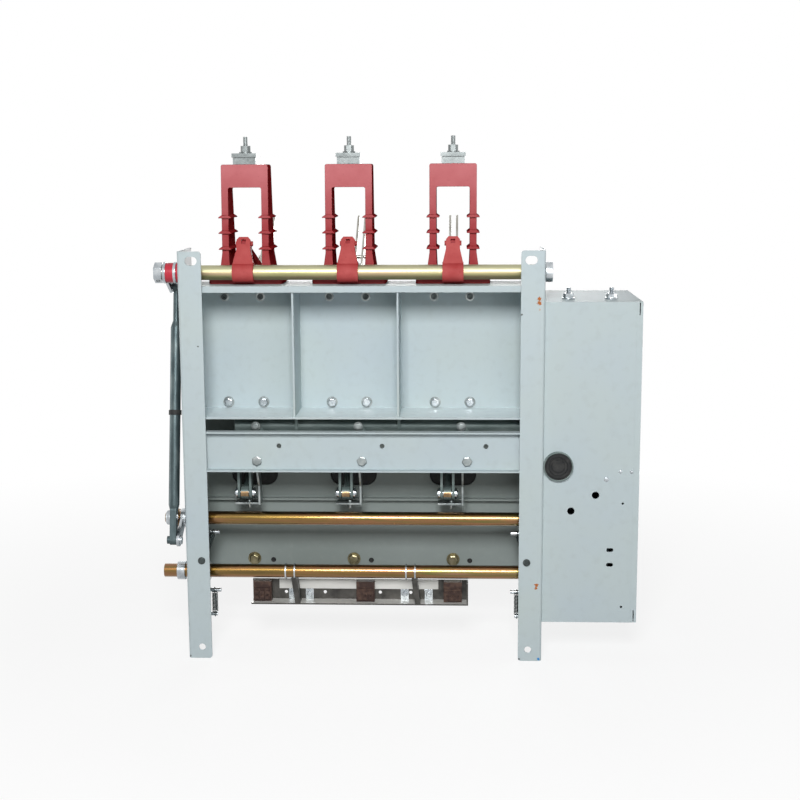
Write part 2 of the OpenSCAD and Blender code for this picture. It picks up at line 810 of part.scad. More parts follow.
// Link rod: flat eye below, tube with a joint, thin top with its eye
module link_rod() {
    color(zinc) difference() {
        translate([rod_x, rod_low[0], rod_low[1]]) rotate([-rod_tilt, 0, 0]) {
            side_plate(-rod_eye_t / 2, rod_eye_t) bar_2d([0, 0], [0, 60], rod_flat_r - 2);
            translate([0, 0, 52]) cylinder(h = rod_tube[0] - 52, r1 = rod_neck_r, r2 = rod_r);
            translate([0, 0, rod_tube[0]]) cylinder(h = rod_tube[1] - rod_tube[0], r = rod_r);
            translate([0, 0, rod_joint]) cylinder(h = 10, r = rod_r + 2);
            translate([0, 0, rod_tube[1]]) cylinder(h = 14, r1 = rod_r, r2 = rod_neck_r);
            translate([0, 0, rod_tube[1]]) cylinder(h = rod_len - rod_tube[1], r = rod_neck_r);
            side_plate(-rod_eye_t / 2, rod_eye_t) translate([0, rod_len]) circle(rod_flat_r);
            xbar(-rod_eye_t / 2 - 6, 0, 8, 0, 0);
        }
        xbar(rod_x - rod_eye_t, rod_x + rod_eye_t, pin_r + run_gap, rod_top[0], rod_top[1]);
    }
}

module drive_shaft() {
    color(gold_zinc) {
        xbar(rod_x - 15, box_x + 20, low_r, shaft_y, drive_z);
        xbar(rod_x - 10, rod_x + 3, low_r + 5, shaft_y, drive_z);
    }
}

// Lever inside a post: hub, arm and the bolt that a spring hangs on
module spring_arm(z, len) {
    difference() {
        union() {
            xbar(lever_x0, lever_x0 + 12, low_r + 5, shaft_y, z);
            side_plate(lever_x0, lever_plate) bar_2d([shaft_y, z], [shaft_y, z - len], 9);
            xbar(lever_x0, spring_x + 14, lever_pin_r, shaft_y, z - len);
        }
        xbar(lever_x0 - 1, lever_x0 + 13, low_r + run_gap, shaft_y, z);
    }
}

module drive_levers() {
    x0 = rod_x + rod_eye_t / 2 + side_gap;
    color(zinc) {
        at_both() spring_arm(drive_z, spring_lever);
        difference() {
            union() {
                xbar(x0, x0 + lever_t + 4, low_r + 6, shaft_y, drive_z);
                side_plate(x0, lever_t) bar_2d([shaft_y, drive_z], rod_low, lever_half);
                xbar(x0 + 1, x0 + lever_t + 4, 9, rod_low[0], rod_low[1]);
            }
            xbar(x0 - 1, x0 + lever_t + 5, low_r + run_gap, shaft_y, drive_z);
        }
    }
}

// Twin blades of the three poles, each pair joined by its pins
module knife_blades() {
    tip = [hinge_y + blade_len * cos(blade_open), hinge_z + blade_len * sin(blade_open)];
    out = blade_gap / 2 + blade_t;
    mid = ([hinge_y, hinge_z] + tip) / 2;
    color(copper_silver) at_poles() {
        for (side = [-1, 1]) side_plate(side * blade_x - blade_t / 2, blade_t) {
            bar_2d([hinge_y, hinge_z], tip, blade_half);
            bar_2d([hinge_y, hinge_z], ear_pin, ear_r);
        }
        xbar(-out - 4, out + 4, hinge_pin_r, hinge_y, hinge_z);
        xbar(-out - 3, out + 3, pin_r, ear_pin[0], ear_pin[1]);
        xbar(-out - 6, out + 6, 4, mid[0], mid[1]);
    }
}

module earth_shaft() {
    color(gold_zinc) xbar(rod_x - 32, box_x - 1, low_r, shaft_y, earth_z);
}

// Earthing bar, hung from its shaft by two clamps
bar_z = earth_z - bar_drop;
bar_t = 3;
bar_y = shaft_y - 5;
bar_web = bar_y + bar_d - bar_t;
strip_t = 3;
clamp_x = [185, 435];
ring_at = 9.3;
ring_t = 3;
ring_wall = 2.5;
clamp_lever = 11;
clamp_slant = 9;

module earth_levers() {
    lip = bar_web - strip_t;
    lever_y0 = shaft_y - 6;
    seat = bar_z + bar_t;
    color(zinc) {
        at_both() spring_arm(earth_z, earth_lever);
        difference() {
            xbar(rod_x - 4, rod_x + 12, low_r + 5, shaft_y, earth_z);
            xbar(rod_x - 5, rod_x + 13, low_r + run_gap, shaft_y, earth_z);
        }
        for (x = clamp_x) difference() {
            union() {
                for (side = [-1, 1])
                    xbar(x + side * ring_at - ring_t / 2, x + side * ring_at + ring_t / 2, low_r + ring_wall,
                         shaft_y, earth_z);
                front_plate(lever_y0, lip - lever_y0) polygon([[x, earth_z], [x + clamp_lever, earth_z],
                    [x + clamp_lever + clamp_slant, seat], [x + clamp_slant, seat]]);
            }
            xbar(x - 20, x + 30, low_r + run_gap, shaft_y, earth_z);
        }
    }
}

module earth_bar() {
    color(zinc) translate([bar_x, 0, 0]) difference() {
        union() {
            translate([0, bar_web, bar_z]) cube([bar_len, bar_t, bar_h]);
            translate([0, bar_y, bar_z]) cube([bar_len, bar_d, bar_t]);
            translate([bar_len - bar_t, bar_y, bar_z]) cube([bar_t, bar_d, bar_h]);
        }
        for (x = [70, 152, 268, 332]) ybar(bar_web - 1, bar_web + bar_t + 1, 3.5, x, bar_z + 18);
    }
}

block_x = [124, 340, 522];
block_w = 38;
block_step = 7;
clip_t = 3;

module contact_blocks() {
    back = bar_web - strip_t;
    front = bar_y + 5;
    z0 = bar_z + bar_t;
    h = bar_h - bar_t;
    color([0.24, 0.18, 0.17]) for (x = block_x) translate([x - block_w / 2, 0, z0]) difference() {
        union() {
            translate([0, front + block_step, 0]) cube([block_w, back - front - block_step, h]);
            translate([2, front + clip_t, 4]) cube([block_w - 4, block_step, h - 18]);
            for (i = [0:2]) translate([3 + i * 11.5, front, 6]) cube([9, block_step, h - 24]);
        }
        for (i = [0:2]) translate([7.5 + i * 11.5, front - 1, h / 2 - 6]) rotate([-90, 0, 0])
            cylinder(h = clip_t + 1, r = 2.5);
    }
}

strip_x = [bar_x + 56, bar_x + 390];
strip_h = 20;

module earth_strip() {
    color(copper_silver) translate([strip_x[0], bar_web - strip_t, bar_z + bar_h - strip_h])
        cube([strip_x[1] - strip_x[0], strip_t, strip_h]);
}

left_post();
right_post();
upper_channel();
channel_ribs();
middle_beam();
slotted_plate();
lower_panel();
mechanism_box();
box_side_cover();
cable_gland();
insulator(1);  // insulator_1
insulator(2);  // insulator_2
insulator(3);  // insulator_3
top_terminals();
upper_supports();
lower_supports();
interrupter(1);  // interrupter_1
interrupter(2);  // interrupter_2
interrupter(3);  // interrupter_3
hinge_heads();
lower_heads();
bell_cranks();
pull_rods();
breaker_shaft();
shaft_hangers();
clevis_pins();
stop_brackets();
spring_studs();
drive_springs();
earth_springs();
isolator_shaft();
crank_strap(1);  // crank_strap_1
crank_strap(2);  // crank_strap_2
crank_strap(3);  // crank_strap_3
end_lever();
pull_links();
link_rod();
drive_shaft();
drive_levers();
knife_blades();
earth_shaft();
earth_levers();
earth_bar();
contact_blocks();
earth_strip();
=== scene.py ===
"""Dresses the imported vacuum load-break switch: finishes, fasteners, springs, light and camera.

Lengths that stand in the fields below are in millimetres in the frame of the solids, and
they are turned into metres where a mesh is made. Points of a solid that lie within WELD, in
metres, are merged, and within FINE in a cut or a wound wire. A bolt's head goes SUNK
millimetres into what it sits on.
"""

import logging
import math
from contextlib import contextmanager
from dataclasses import dataclass
from enum import Enum
from typing import Callable, Iterator, Sequence

import bmesh
import bpy
from mathutils import Matrix, Vector

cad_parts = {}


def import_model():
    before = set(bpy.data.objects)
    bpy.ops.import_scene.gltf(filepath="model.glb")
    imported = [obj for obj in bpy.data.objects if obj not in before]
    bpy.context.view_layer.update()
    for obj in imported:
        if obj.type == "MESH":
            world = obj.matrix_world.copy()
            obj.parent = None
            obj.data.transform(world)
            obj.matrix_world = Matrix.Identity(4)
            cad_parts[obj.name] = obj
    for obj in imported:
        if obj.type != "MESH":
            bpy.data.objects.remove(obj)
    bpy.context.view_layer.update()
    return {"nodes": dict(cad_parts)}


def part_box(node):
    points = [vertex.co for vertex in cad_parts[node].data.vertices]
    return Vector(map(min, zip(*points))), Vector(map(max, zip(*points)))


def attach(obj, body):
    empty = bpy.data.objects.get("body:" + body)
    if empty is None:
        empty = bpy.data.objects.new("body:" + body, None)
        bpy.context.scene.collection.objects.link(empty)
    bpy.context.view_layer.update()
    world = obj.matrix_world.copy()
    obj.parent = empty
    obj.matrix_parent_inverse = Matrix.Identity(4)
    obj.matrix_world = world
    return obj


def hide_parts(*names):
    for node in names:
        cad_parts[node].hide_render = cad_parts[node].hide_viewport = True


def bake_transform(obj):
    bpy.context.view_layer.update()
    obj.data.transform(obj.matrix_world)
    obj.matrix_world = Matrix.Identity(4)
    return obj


LOG = logging.getLogger("load_break_switch")
MM = 0.001
WELD = 0.00001
FINE = 0.000001
SUNK = 0.2

Colour = tuple[float, float, float]
Point = tuple[float, float, float]
Pair = tuple[float, float]
Stops = tuple[tuple[float, Colour], ...]
Piece = bpy.types.Object
Socket = bpy.types.NodeSocket
FaceTest = Callable[[Vector, Vector], bool]


class Body(Enum):
    """The rigid bodies of the switch."""

    FRAME = "frame"
    ISOLATOR = "isolator"
    PULL_LINKS = "pull_links"
    LINK_ROD = "link_rod"
    DRIVE = "drive"
    KNIVES = "knives"
    EARTH = "earth"


class Slot(Enum):
    """The record's material slots."""

    PAINT = "painted_steel"
    EPOXY = "red_epoxy"
    STRAPS = "red_straps"
    ZINC = "zinc"
    GOLD = "gold_zinc"
    ALUMINIUM = "aluminium"
    SILVER = "silvered_copper"
    CERAMIC = "ceramic"
    RUBBER = "black_rubber"
    CONTACT = "contact_brown"


class Facing(Enum):
    """The way a fastener's head looks."""

    FRONT = (0.0, -1.0, 0.0)
    BACK = (0.0, 1.0, 0.0)
    UP = (0.0, 0.0, 1.0)
    DOWN = (0.0, 0.0, -1.0)
    LEFT = (-1.0, 0.0, 0.0)
    RIGHT = (1.0, 0.0, 0.0)
    FRONT_LOW = (0.0, -0.5, -0.866)


Seat = tuple[Point, Facing, float]


def shown(red: int, green: int, blue: int) -> Colour:
    """Give the linear colour that displays as these 8-bit values.

    Args:
        red: Red from 0 to 255.
        green: Green from 0 to 255.
        blue: Blue from 0 to 255.

    Returns:
        The linear colour.
    """

    def linear(value: int) -> float:
        """Undo the display curve for one channel."""
        part = value / 255
        return part / 12.92 if part <= 0.04045 else ((part + 0.055) / 1.055) ** 2.4

    return linear(red), linear(green), linear(blue)


def tones(*stops: tuple[float, int, int, int]) -> Stops:
    """Give a ramp's stops, each from its place and the 8-bit colour that it displays as."""
    return tuple((at, shown(*channels)) for at, *channels in stops)


def looks_up(_middle: Vector, normal: Vector) -> bool:
    """Tell whether a face looks up."""
    return normal.z > 0.9


def lies_level(_middle: Vector, normal: Vector) -> bool:
    """Tell whether a face looks up or down."""
    return abs(normal.z) > 0.9


class Recipe:
    """One procedural material, put together node by node on Object coordinates."""

    def __init__(self, name: str) -> None:
        """Start the material.

        Args:
            name: The material's name.
        """
        self.material = bpy.data.materials.new(name)
        self.material.use_nodes = True
        self.tree = self.material.node_tree
        self.shader = self.tree.nodes["Principled BSDF"]
        self.place: Socket = self.node("ShaderNodeTexCoord").outputs["Object"]

    def node(self, kind: str, **settings: object) -> bpy.types.Node:
        """Add a node.

        Args:
            kind: The node's type name.
            **settings: Properties to set on it.

        Returns:
            The new node.
        """
        made = self.tree.nodes.new(kind)
        for key, value in settings.items():
            setattr(made, key, value)
        return made

    def link(self, start: Socket, end: Socket) -> None:
        """Join two sockets."""
        self.tree.links.new(start, end)

    def drawn_out(self, scale: Point) -> Socket:
        """Scale the coordinates by axis.

        Args:
            scale: A factor for each axis.

        Returns:
            The scaled coordinates.
        """
        mapping = self.node("ShaderNodeMapping")
        mapping.inputs["Scale"].default_value = scale
        self.link(self.place, mapping.inputs["Vector"])
        return mapping.outputs["Vector"]

    def noise(self, scale: float, detail: float = 3.0, vector: Socket | None = None) -> Socket:
        """Add a cloudy pattern.

        Args:
            scale: Clouds to the metre.
            detail: How many finer layers it has.
            vector: Coordinates other than the plain ones.

        Returns:
            The pattern's value, around one half.
        """
        made = self.node("ShaderNodeTexNoise")
        made.inputs["Scale"].default_value = scale
        made.inputs["Detail"].default_value = detail
        self.link(vector or self.place, made.inputs["Vector"])
        return made.outputs["Fac"]

    def spread(self, value: Socket, from_low: float, from_high: float, low: float, high: float) -> Socket:
        """Map a range of a value onto another, held at its ends.

        Args:
            value: The value to map.
            from_low: Where the first range starts.
            from_high: Where the first range ends.
            low: What the start becomes.
            high: What the end becomes.

        Returns:
            The mapped value.
        """
        made = self.node("ShaderNodeMapRange")
        ends = {"From Min": from_low, "From Max": from_high, "To Min": low, "To Max": high}
        for key, number in ends.items():
            made.inputs[key].default_value = number
        self.link(value, made.inputs["Value"])
        return made.outputs["Result"]

    def maths(self, operation: str, first: Socket, second: Socket | float) -> Socket:
        """Join two values by arithmetic.

        Args:
            operation: Blender's name of the operation.
            first: The first value.
            second: The second value, a socket or a number.

        Returns:
            The result.
        """
        made = self.node("ShaderNodeMath", operation=operation)
        self.link(first, made.inputs[0])
        if isinstance(second, (int, float)):
            made.inputs[1].default_value = second
        else:
            self.link(second, made.inputs[1])
        return made.outputs["Value"]

    def axis(self, vector: Socket, letter: str) -> Socket:
        """Take one axis out of a vector."""
        apart = self.node("ShaderNodeSeparateXYZ")
        self.link(vector, apart.inputs[0])
        return apart.outputs[letter]

    def facing(self, letter: str) -> Socket:
        """Take one axis out of the surface's normal."""
        return self.axis(self.node("ShaderNodeNewGeometry").outputs["Normal"], letter)

    def distance(self, centre: Point) -> Socket:
        """Measure how far the surface is, in metres, from a point given in millimetres."""
        made = self.node("ShaderNodeVectorMath", operation="DISTANCE")
        self.link(self.place, made.inputs[0])
        made.inputs[1].default_value = Vector(centre) * MM
        return made.outputs["Value"]

    def near(self, centre: Point, radius: float) -> Socket:
        """Give one at a point, falling to zero at a radius, both in millimetres."""
        return self.spread(self.distance(centre), 0.0, radius * MM, 1.0, 0.0)

    def mix(self, share: Socket, low: Socket | Colour, high: Socket | Colour) -> Socket:
        """Mix two colours.

        Args:
            share: How much of the second colour there is.
            low: The first colour.
            high: The second colour.

        Returns:
            The mixed colour.
        """
        made = self.node("ShaderNodeMix", data_type="RGBA")
        self.link(share, made.inputs[0])
        for end, colour in ((made.inputs[6], low), (made.inputs[7], high)):
            if isinstance(colour, bpy.types.NodeSocket):
                self.link(colour, end)
            else:
                end.default_value = (*colour, 1.0)
        return made.outputs[2]

    def ramp(self, value: Socket, stops: Stops) -> Socket:
        """Turn a value into colours.

        Args:
            value: The value from zero to one.
            stops: Places and their colours.

        Returns:
            The colour.
        """
        made = self.node("ShaderNodeValToRGB")
        elements = made.color_ramp.elements
        while len(elements) < len(stops):
            elements.new(0.5)
        for element, (at, colour) in zip(elements, stops):
            element.position = at
            element.color = (*colour, 1.0)
        self.link(value, made.inputs["Fac"])
        return made.outputs["Color"]

    def bump(self, height: Socket, strength: float, distance: float) -> None:
        """Roughen the surface's shading.

        Args:
            height: The relief.
            strength: How much of it shows.
            distance: The relief's depth in metres.
        """
        made = self.node("ShaderNodeBump")
        made.inputs["Strength"].default_value = strength
        made.inputs["Distance"].default_value = distance
        self.link(height, made.inputs["Height"])
        self.link(made.outputs["Normal"], self.shader.inputs["Normal"])

    def set(self, **values: float | Colour | Socket) -> None:
        """Set the shader's sockets, with underscores for spaces in their names."""
        for key, value in values.items():
            socket = self.shader.inputs[key.replace("_", " ")]
            if isinstance(value, bpy.types.NodeSocket):
                self.link(value, socket)
            elif isinstance(value, tuple):
                socket.default_value = (*value, 1.0)
            else:
                socket.default_value = value


@dataclass(frozen=True)
class Mark:
    """A chip, stain or scratch on paint, round a point."""

    at: Point
    reach: float
    colour: Colour


@dataclass(frozen=True)
class PowderCoat:
    """Satin powder paint on steel, with orange peel, faint clouds and a few marks."""

    name: str
    colour: Colour
    warm: Colour
    roughness: float = 0.46
    marks: tuple[Mark, ...] = ()
    specular: float = 0.3
    slot: Slot = Slot.PAINT
    cloud: float = 5.0
    dust: float = 60.0
    dust_colour: Colour = shown(160, 168, 166)
    chip: float = 420.0
    peel: float = 750.0

    def material(self) -> bpy.types.Material:
        """Mix the paint.

        Returns:
            The finished material.
        """
        mixed = Recipe(self.name)
        clouds = mixed.noise(self.cloud)
        colour = mixed.mix(mixed.spread(clouds, 0.3, 0.7, 0.0, 1.0), self.colour, self.warm)
        dust = mixed.spread(mixed.noise(self.dust, 6.0), 0.52, 0.75, 0.0, 0.16)
        colour = mixed.mix(dust, colour, self.dust_colour)
        ragged = mixed.spread(mixed.noise(self.chip, 4.0), 0.3, 0.7, -0.35, 0.2)
        for mark in self.marks:
            edge = mixed.maths("ADD", mixed.near(mark.at, mark.reach), ragged)
            colour = mixed.mix(mixed.spread(edge, 0.45, 0.55, 0.0, 1.0), colour, mark.colour)
        mixed.bump(mixed.noise(self.peel, 2.0), 0.12, 0.0004)
        rough = mixed.spread(clouds, 0.3, 0.7, self.roughness - 0.05, self.roughness + 0.06)
        mixed.set(Base_Color=colour, Roughness=rough, Specular_IOR_Level=self.specular)
        return mixed.material


@dataclass(frozen=True)
class CastEpoxy:
    """Cast red epoxy or moulded plastic with a bloom of dust, a painted sheen that pales the faces looking to
    the front, and a soft gloss.
    """

    name: str
    deep: Colour
    # The pale colour of the bloom clouds, and also of the painted sheen on faces that look to the front.
    full_dust_and_sheen: Colour
    bloom: float
    roughness: float
    slot: Slot = Slot.EPOXY
    # Painted sheen: how far faces that look to the front are paled, less so towards the bottom.
    front_sheen: float = 0.45
    sheen_from: float = 0.0
    specular: float = 0.10
    cloud: float = 28.0
    sheen_rise: float = 120.0
    least_sheen: float = 0.28
    speck: float = 300.0
    speck_colour: Colour = shown(110, 34, 36)
    skin: float = 180.0

    def material(self) -> bpy.types.Material:
        """Mix the resin.

        Returns:
            The finished material.
        """
        mixed = Recipe(self.name)
        clouds = mixed.noise(self.cloud, 5.0)
        settled = mixed.spread(clouds, 0.32, 0.68, 0.0, self.bloom)
        # Painted sheen: faces that look to the front are mixed towards the pale colour, fading towards the
        # bottom.
        front = mixed.spread(mixed.facing("Y"), -1.0, -0.35, self.front_sheen, 0.0)
        sheen_start, full_dust_and_sheen = self.sheen_from * MM, (self.sheen_from + self.sheen_rise) * MM
        height = mixed.spread(mixed.axis(mixed.place, "Z"), sheen_start, full_dust_and_sheen, self.least_sheen, 1.0)
        share = mixed.maths("ADD", settled, mixed.maths("MULTIPLY", front, height))
        colour = mixed.mix(share, self.deep, self.full_dust_and_sheen)
        specks = mixed.spread(mixed.noise(self.speck), 0.66, 0.74, 0.0, 0.35)
        colour = mixed.mix(specks, colour, self.speck_colour)
        mixed.bump(mixed.noise(self.skin, 5.0), 0.10, 0.0006)
        rough = mixed.spread(clouds, 0.3, 0.7, self.roughness - 0.06, self.roughness + 0.1)
        mixed.set(Base_Color=colour, Roughness=rough, Specular_IOR_Level=self.specular)
        return mixed.material


@dataclass(frozen=True)
class Plating:
    """A plated or bare metal, with clouds along its drawing direction and fine scuffs, and, where a top
    colour is given, a painted reflection that pales the faces looking up.
    """

    name: str
    stops: Stops
    slot: Slot
    roughness: float
    along: Point = (1.0, 1.0, 1.0)
    cloud: float = 40.0
    relief: float = 0.08
    metal: float = 1.0
    coat: float = 0.0
    # A paler colour for faces that look up: a painted reflection of the bright surroundings above.
    top: Colour | None = None
    scuff: float = 170.0
    coat_roughness: float = 0.12

    def material(self) -> bpy.types.Material:
        """Mix the plating.

        Returns:
            The finished material.
        """
        mixed = Recipe(self.name)
        drawn = mixed.drawn_out(self.along)
        clouds = mixed.spread(mixed.noise(self.cloud, 5.0, drawn), 0.28, 0.72, 0.0, 1.0)
        colour = mixed.ramp(clouds, self.stops)
        # Painted reflection: faces that look up are mixed towards the top colour.
        if self.top:
            colour = mixed.mix(mixed.spread(mixed.facing("Z"), 0.05, 0.45, 0.0, 0.85), colour, self.top)
        scuffs = mixed.noise(self.scuff, 4.0, drawn)
        mixed.bump(scuffs, self.relief, 0.0003)
        rough = mixed.spread(scuffs, 0.3, 0.7, self.roughness - 0.07, self.roughness + 0.09)
        mixed.set(Base_Color=colour, Metallic=self.metal, Roughness=rough, Coat_Weight=self.coat,
                  Coat_Roughness=self.coat_roughness)
        return mixed.material


@dataclass(frozen=True)
class Moulding:
    """A dull dark moulding or glaze, with a fine grain and worn high spots."""

    name: str
    colour: Colour
    worn: Colour
    slot: Slot
    roughness: float
    relief: float = 0.15
    gloss: float = 0.0
    wear: float = 90.0
    grain: float = 600.0
    specular: float = 0.25

    def material(self) -> bpy.types.Material:
        """Mix the moulding.

        Returns:
            The finished material.
        """
        mixed = Recipe(self.name)
        wear = mixed.spread(mixed.noise(self.wear, 6.0), 0.45, 0.7, 0.0, 1.0)
        mixed.bump(mixed.noise(self.grain), self.relief, 0.0004)
        rough = mixed.spread(wear, 0.0, 1.0, self.roughness, self.roughness + 0.12)
        mixed.set(Base_Color=mixed.mix(wear, self.colour, self.worn), Roughness=rough, Coat_Weight=self.gloss,
                  Specular_IOR_Level=self.specular)
        return mixed.material


Finish = PowderCoat | CastEpoxy | Plating | Moulding


class Paints:
    """Every finish of the switch, mixed once and shared."""

    RUST = shown(176, 104, 52)
    PALE_RUST = shown(196, 176, 156)
    DARK = shown(92, 98, 98)
    BLUE = shown(60, 140, 205)
    ALONG_X: Point = (0.3, 1.0, 1.0)

    FRAME = PowderCoat("frame_paint", shown(187, 200, 206), shown(190, 202, 202), specular=0.12)
    POST = PowderCoat("post_paint", shown(189, 202, 208), shown(191, 203, 203), specular=0.12, marks=(
        Mark((692.0, 0.0, 745.0), 8.5, RUST), Mark((692.5, 0.0, 737.0), 9.5, RUST),
        Mark((693.0, 0.0, 724.0), 4.5, PALE_RUST), Mark((692.5, 0.0, 162.0), 8.5, RUST),
        Mark((691.5, 0.0, 155.0), 6.5, RUST), Mark((658.0, 0.0, 714.0), 4.5, DARK),
        Mark((698.0, 0.0, 4.0), 7.0, BLUE), Mark((14.0, 0.0, 651.0), 4.0, DARK),
        Mark((-22.0, 0.0, 4.0), 5.0, DARK), Mark((658.0, 0.0, 4.0), 5.0, DARK)))
    # Painted sheen: a lighter copy of the frame paint on the channel's floor, standing in for the sheen it
    # shows at a grazing view.
    CHANNEL_FLOOR_SHEEN = PowderCoat("channel_floor_painted_sheen", shown(226, 238, 242), shown(228, 238, 239), 0.38,
                               specular=0.5)
    # Painted shade: a darker copy of the frame paint for the recessed rear plates, standing in for the shade
    # they sit in.
    SHADED_PLATES = PowderCoat("rear_plate_painted_shade", shown(132, 141, 138), shown(142, 151, 149), 0.36)
    # The resins below carry a painted sheen on their faces that look to the front.
    EPOXY = CastEpoxy("cast_epoxy", shown(144, 20, 24), shown(220, 142, 146), 0.10, 0.44, front_sheen=0.58,
                      sheen_from=880.0, specular=0.0)
    STRAP = CastEpoxy("strap_resin", shown(152, 32, 36), shown(202, 106, 104), 0.30, 0.50, Slot.STRAPS, 0.38,
                      specular=0.05)
    HUB_RED = CastEpoxy("hub_red", shown(176, 24, 44), shown(200, 60, 76), 0.15, 0.30, Slot.STRAPS,
                        specular=0.4)
    ZINC = Plating("bright_zinc", tones((0.0, 150, 156, 160), (0.5, 176, 182, 186), (1.0, 204, 208, 210)),
                   Slot.ZINC, 0.24, cloud=60.0, relief=0.03)
    DULL_ZINC = Plating("dull_zinc", tones((0.0, 112, 118, 118), (0.5, 140, 147, 147), (1.0, 168, 173, 172)),
                        Slot.ZINC, 0.40, cloud=60.0)
    PALE_ZINC = Plating("pale_zinc", tones((0.0, 196, 196, 192), (1.0, 226, 226, 222)),
                        Slot.ZINC, 0.36, ALONG_X, 30.0, metal=0.2)
    TERMINAL = Plating("terminal_tin", tones((0.0, 98, 103, 103), (1.0, 136, 141, 141)),
                       Slot.ALUMINIUM, 0.34, cloud=16.0, relief=0.01)
    SPRING = Plating("spring_wire", tones((0.0, 26, 36, 37), (1.0, 58, 70, 70)),
                     Slot.ZINC, 0.30, cloud=80.0, metal=0.6)
    BLACK_OXIDE = Plating("black_oxide", tones((0.0, 44, 50, 50), (1.0, 84, 91, 91)),
                          Slot.ZINC, 0.34, cloud=80.0, metal=0.7)
    DARK_STEEL = Plating("dark_steel", tones((0.0, 44, 43, 41), (1.0, 82, 80, 76)),
                         Slot.ZINC, 0.38, cloud=50.0, metal=0.4)
    SHADED_STEEL = Plating("grey_steel", tones((0.0, 84, 98, 97), (0.5, 104, 118, 116), (1.0, 128, 140, 138)),
                           Slot.ZINC, 0.46, ALONG_X, 50.0, metal=0.35)
    COPPER_BUSH = Plating("copper_bush", tones((0.0, 114, 92, 66), (1.0, 148, 124, 94)),
                          Slot.GOLD, 0.30, cloud=90.0)
    ROD_ZINC = Plating("rod_zinc", tones((0.0, 52, 65, 67), (0.5, 70, 84, 87), (1.0, 98, 110, 111)),
                       Slot.ZINC, 0.42, (1.0, 1.0, 0.25), 60.0, metal=0.6)
    GOLD = Plating("yellow_zinc", tones((0.0, 92, 74, 28), (0.3, 116, 90, 38), (0.55, 134, 92, 56),
                                        (0.75, 104, 98, 40), (1.0, 140, 104, 76)),
                   Slot.GOLD, 0.26, (0.06, 1.0, 1.0), 60.0, coat=0.7)
    # The pale top of this shaft is a painted reflection.
    PALE_GOLD = Plating("pale_yellow_zinc", tones((0.0, 134, 132, 92), (0.4, 164, 160, 118),
                                                  (0.7, 170, 150, 122), (1.0, 148, 156, 104)),
                        Slot.GOLD, 0.46, (0.05, 1.0, 1.0), 60.0, coat=0.1, top=shown(178, 177, 146))
    OLIVE_ZINC = Plating("olive_zinc", tones((0.0, 96, 92, 70), (0.5, 126, 120, 94), (1.0, 148, 140, 116)),
                         Slot.GOLD, 0.32, cloud=70.0)
    ALUMINIUM = Plating("cast_aluminium", tones((0.0, 188, 190, 191), (1.0, 216, 217, 217)),
                        Slot.ALUMINIUM, 0.38, cloud=25.0, relief=0.16)
    SILVER = Plating("silvered_copper",
                     tones((0.0, 150, 147, 139), (0.6, 178, 176, 169), (1.0, 160, 147, 131)),
                     Slot.SILVER, 0.30, cloud=18.0)
    CERAMIC = Moulding("glazed_ceramic", shown(228, 225, 216), shown(214, 210, 198), Slot.CERAMIC,
                       0.22, 0.04, 0.6)
    RUBBER = Moulding("black_rubber", shown(34, 35, 36), shown(58, 58, 57), Slot.RUBBER, 0.58)
    CONTACT = Moulding("contact_brown", shown(58, 42, 38), shown(92, 72, 62), Slot.CONTACT, 0.42)

    _mixed: dict[str, bpy.types.Material] = {}

    @classmethod
    def of(cls, finish: Finish) -> bpy.types.Material:
        """Give the material of a finish, mixing it at its first use."""
        if finish.name not in cls._mixed:
            cls._mixed[finish.name] = finish.material()
        return cls._mixed[finish.name]


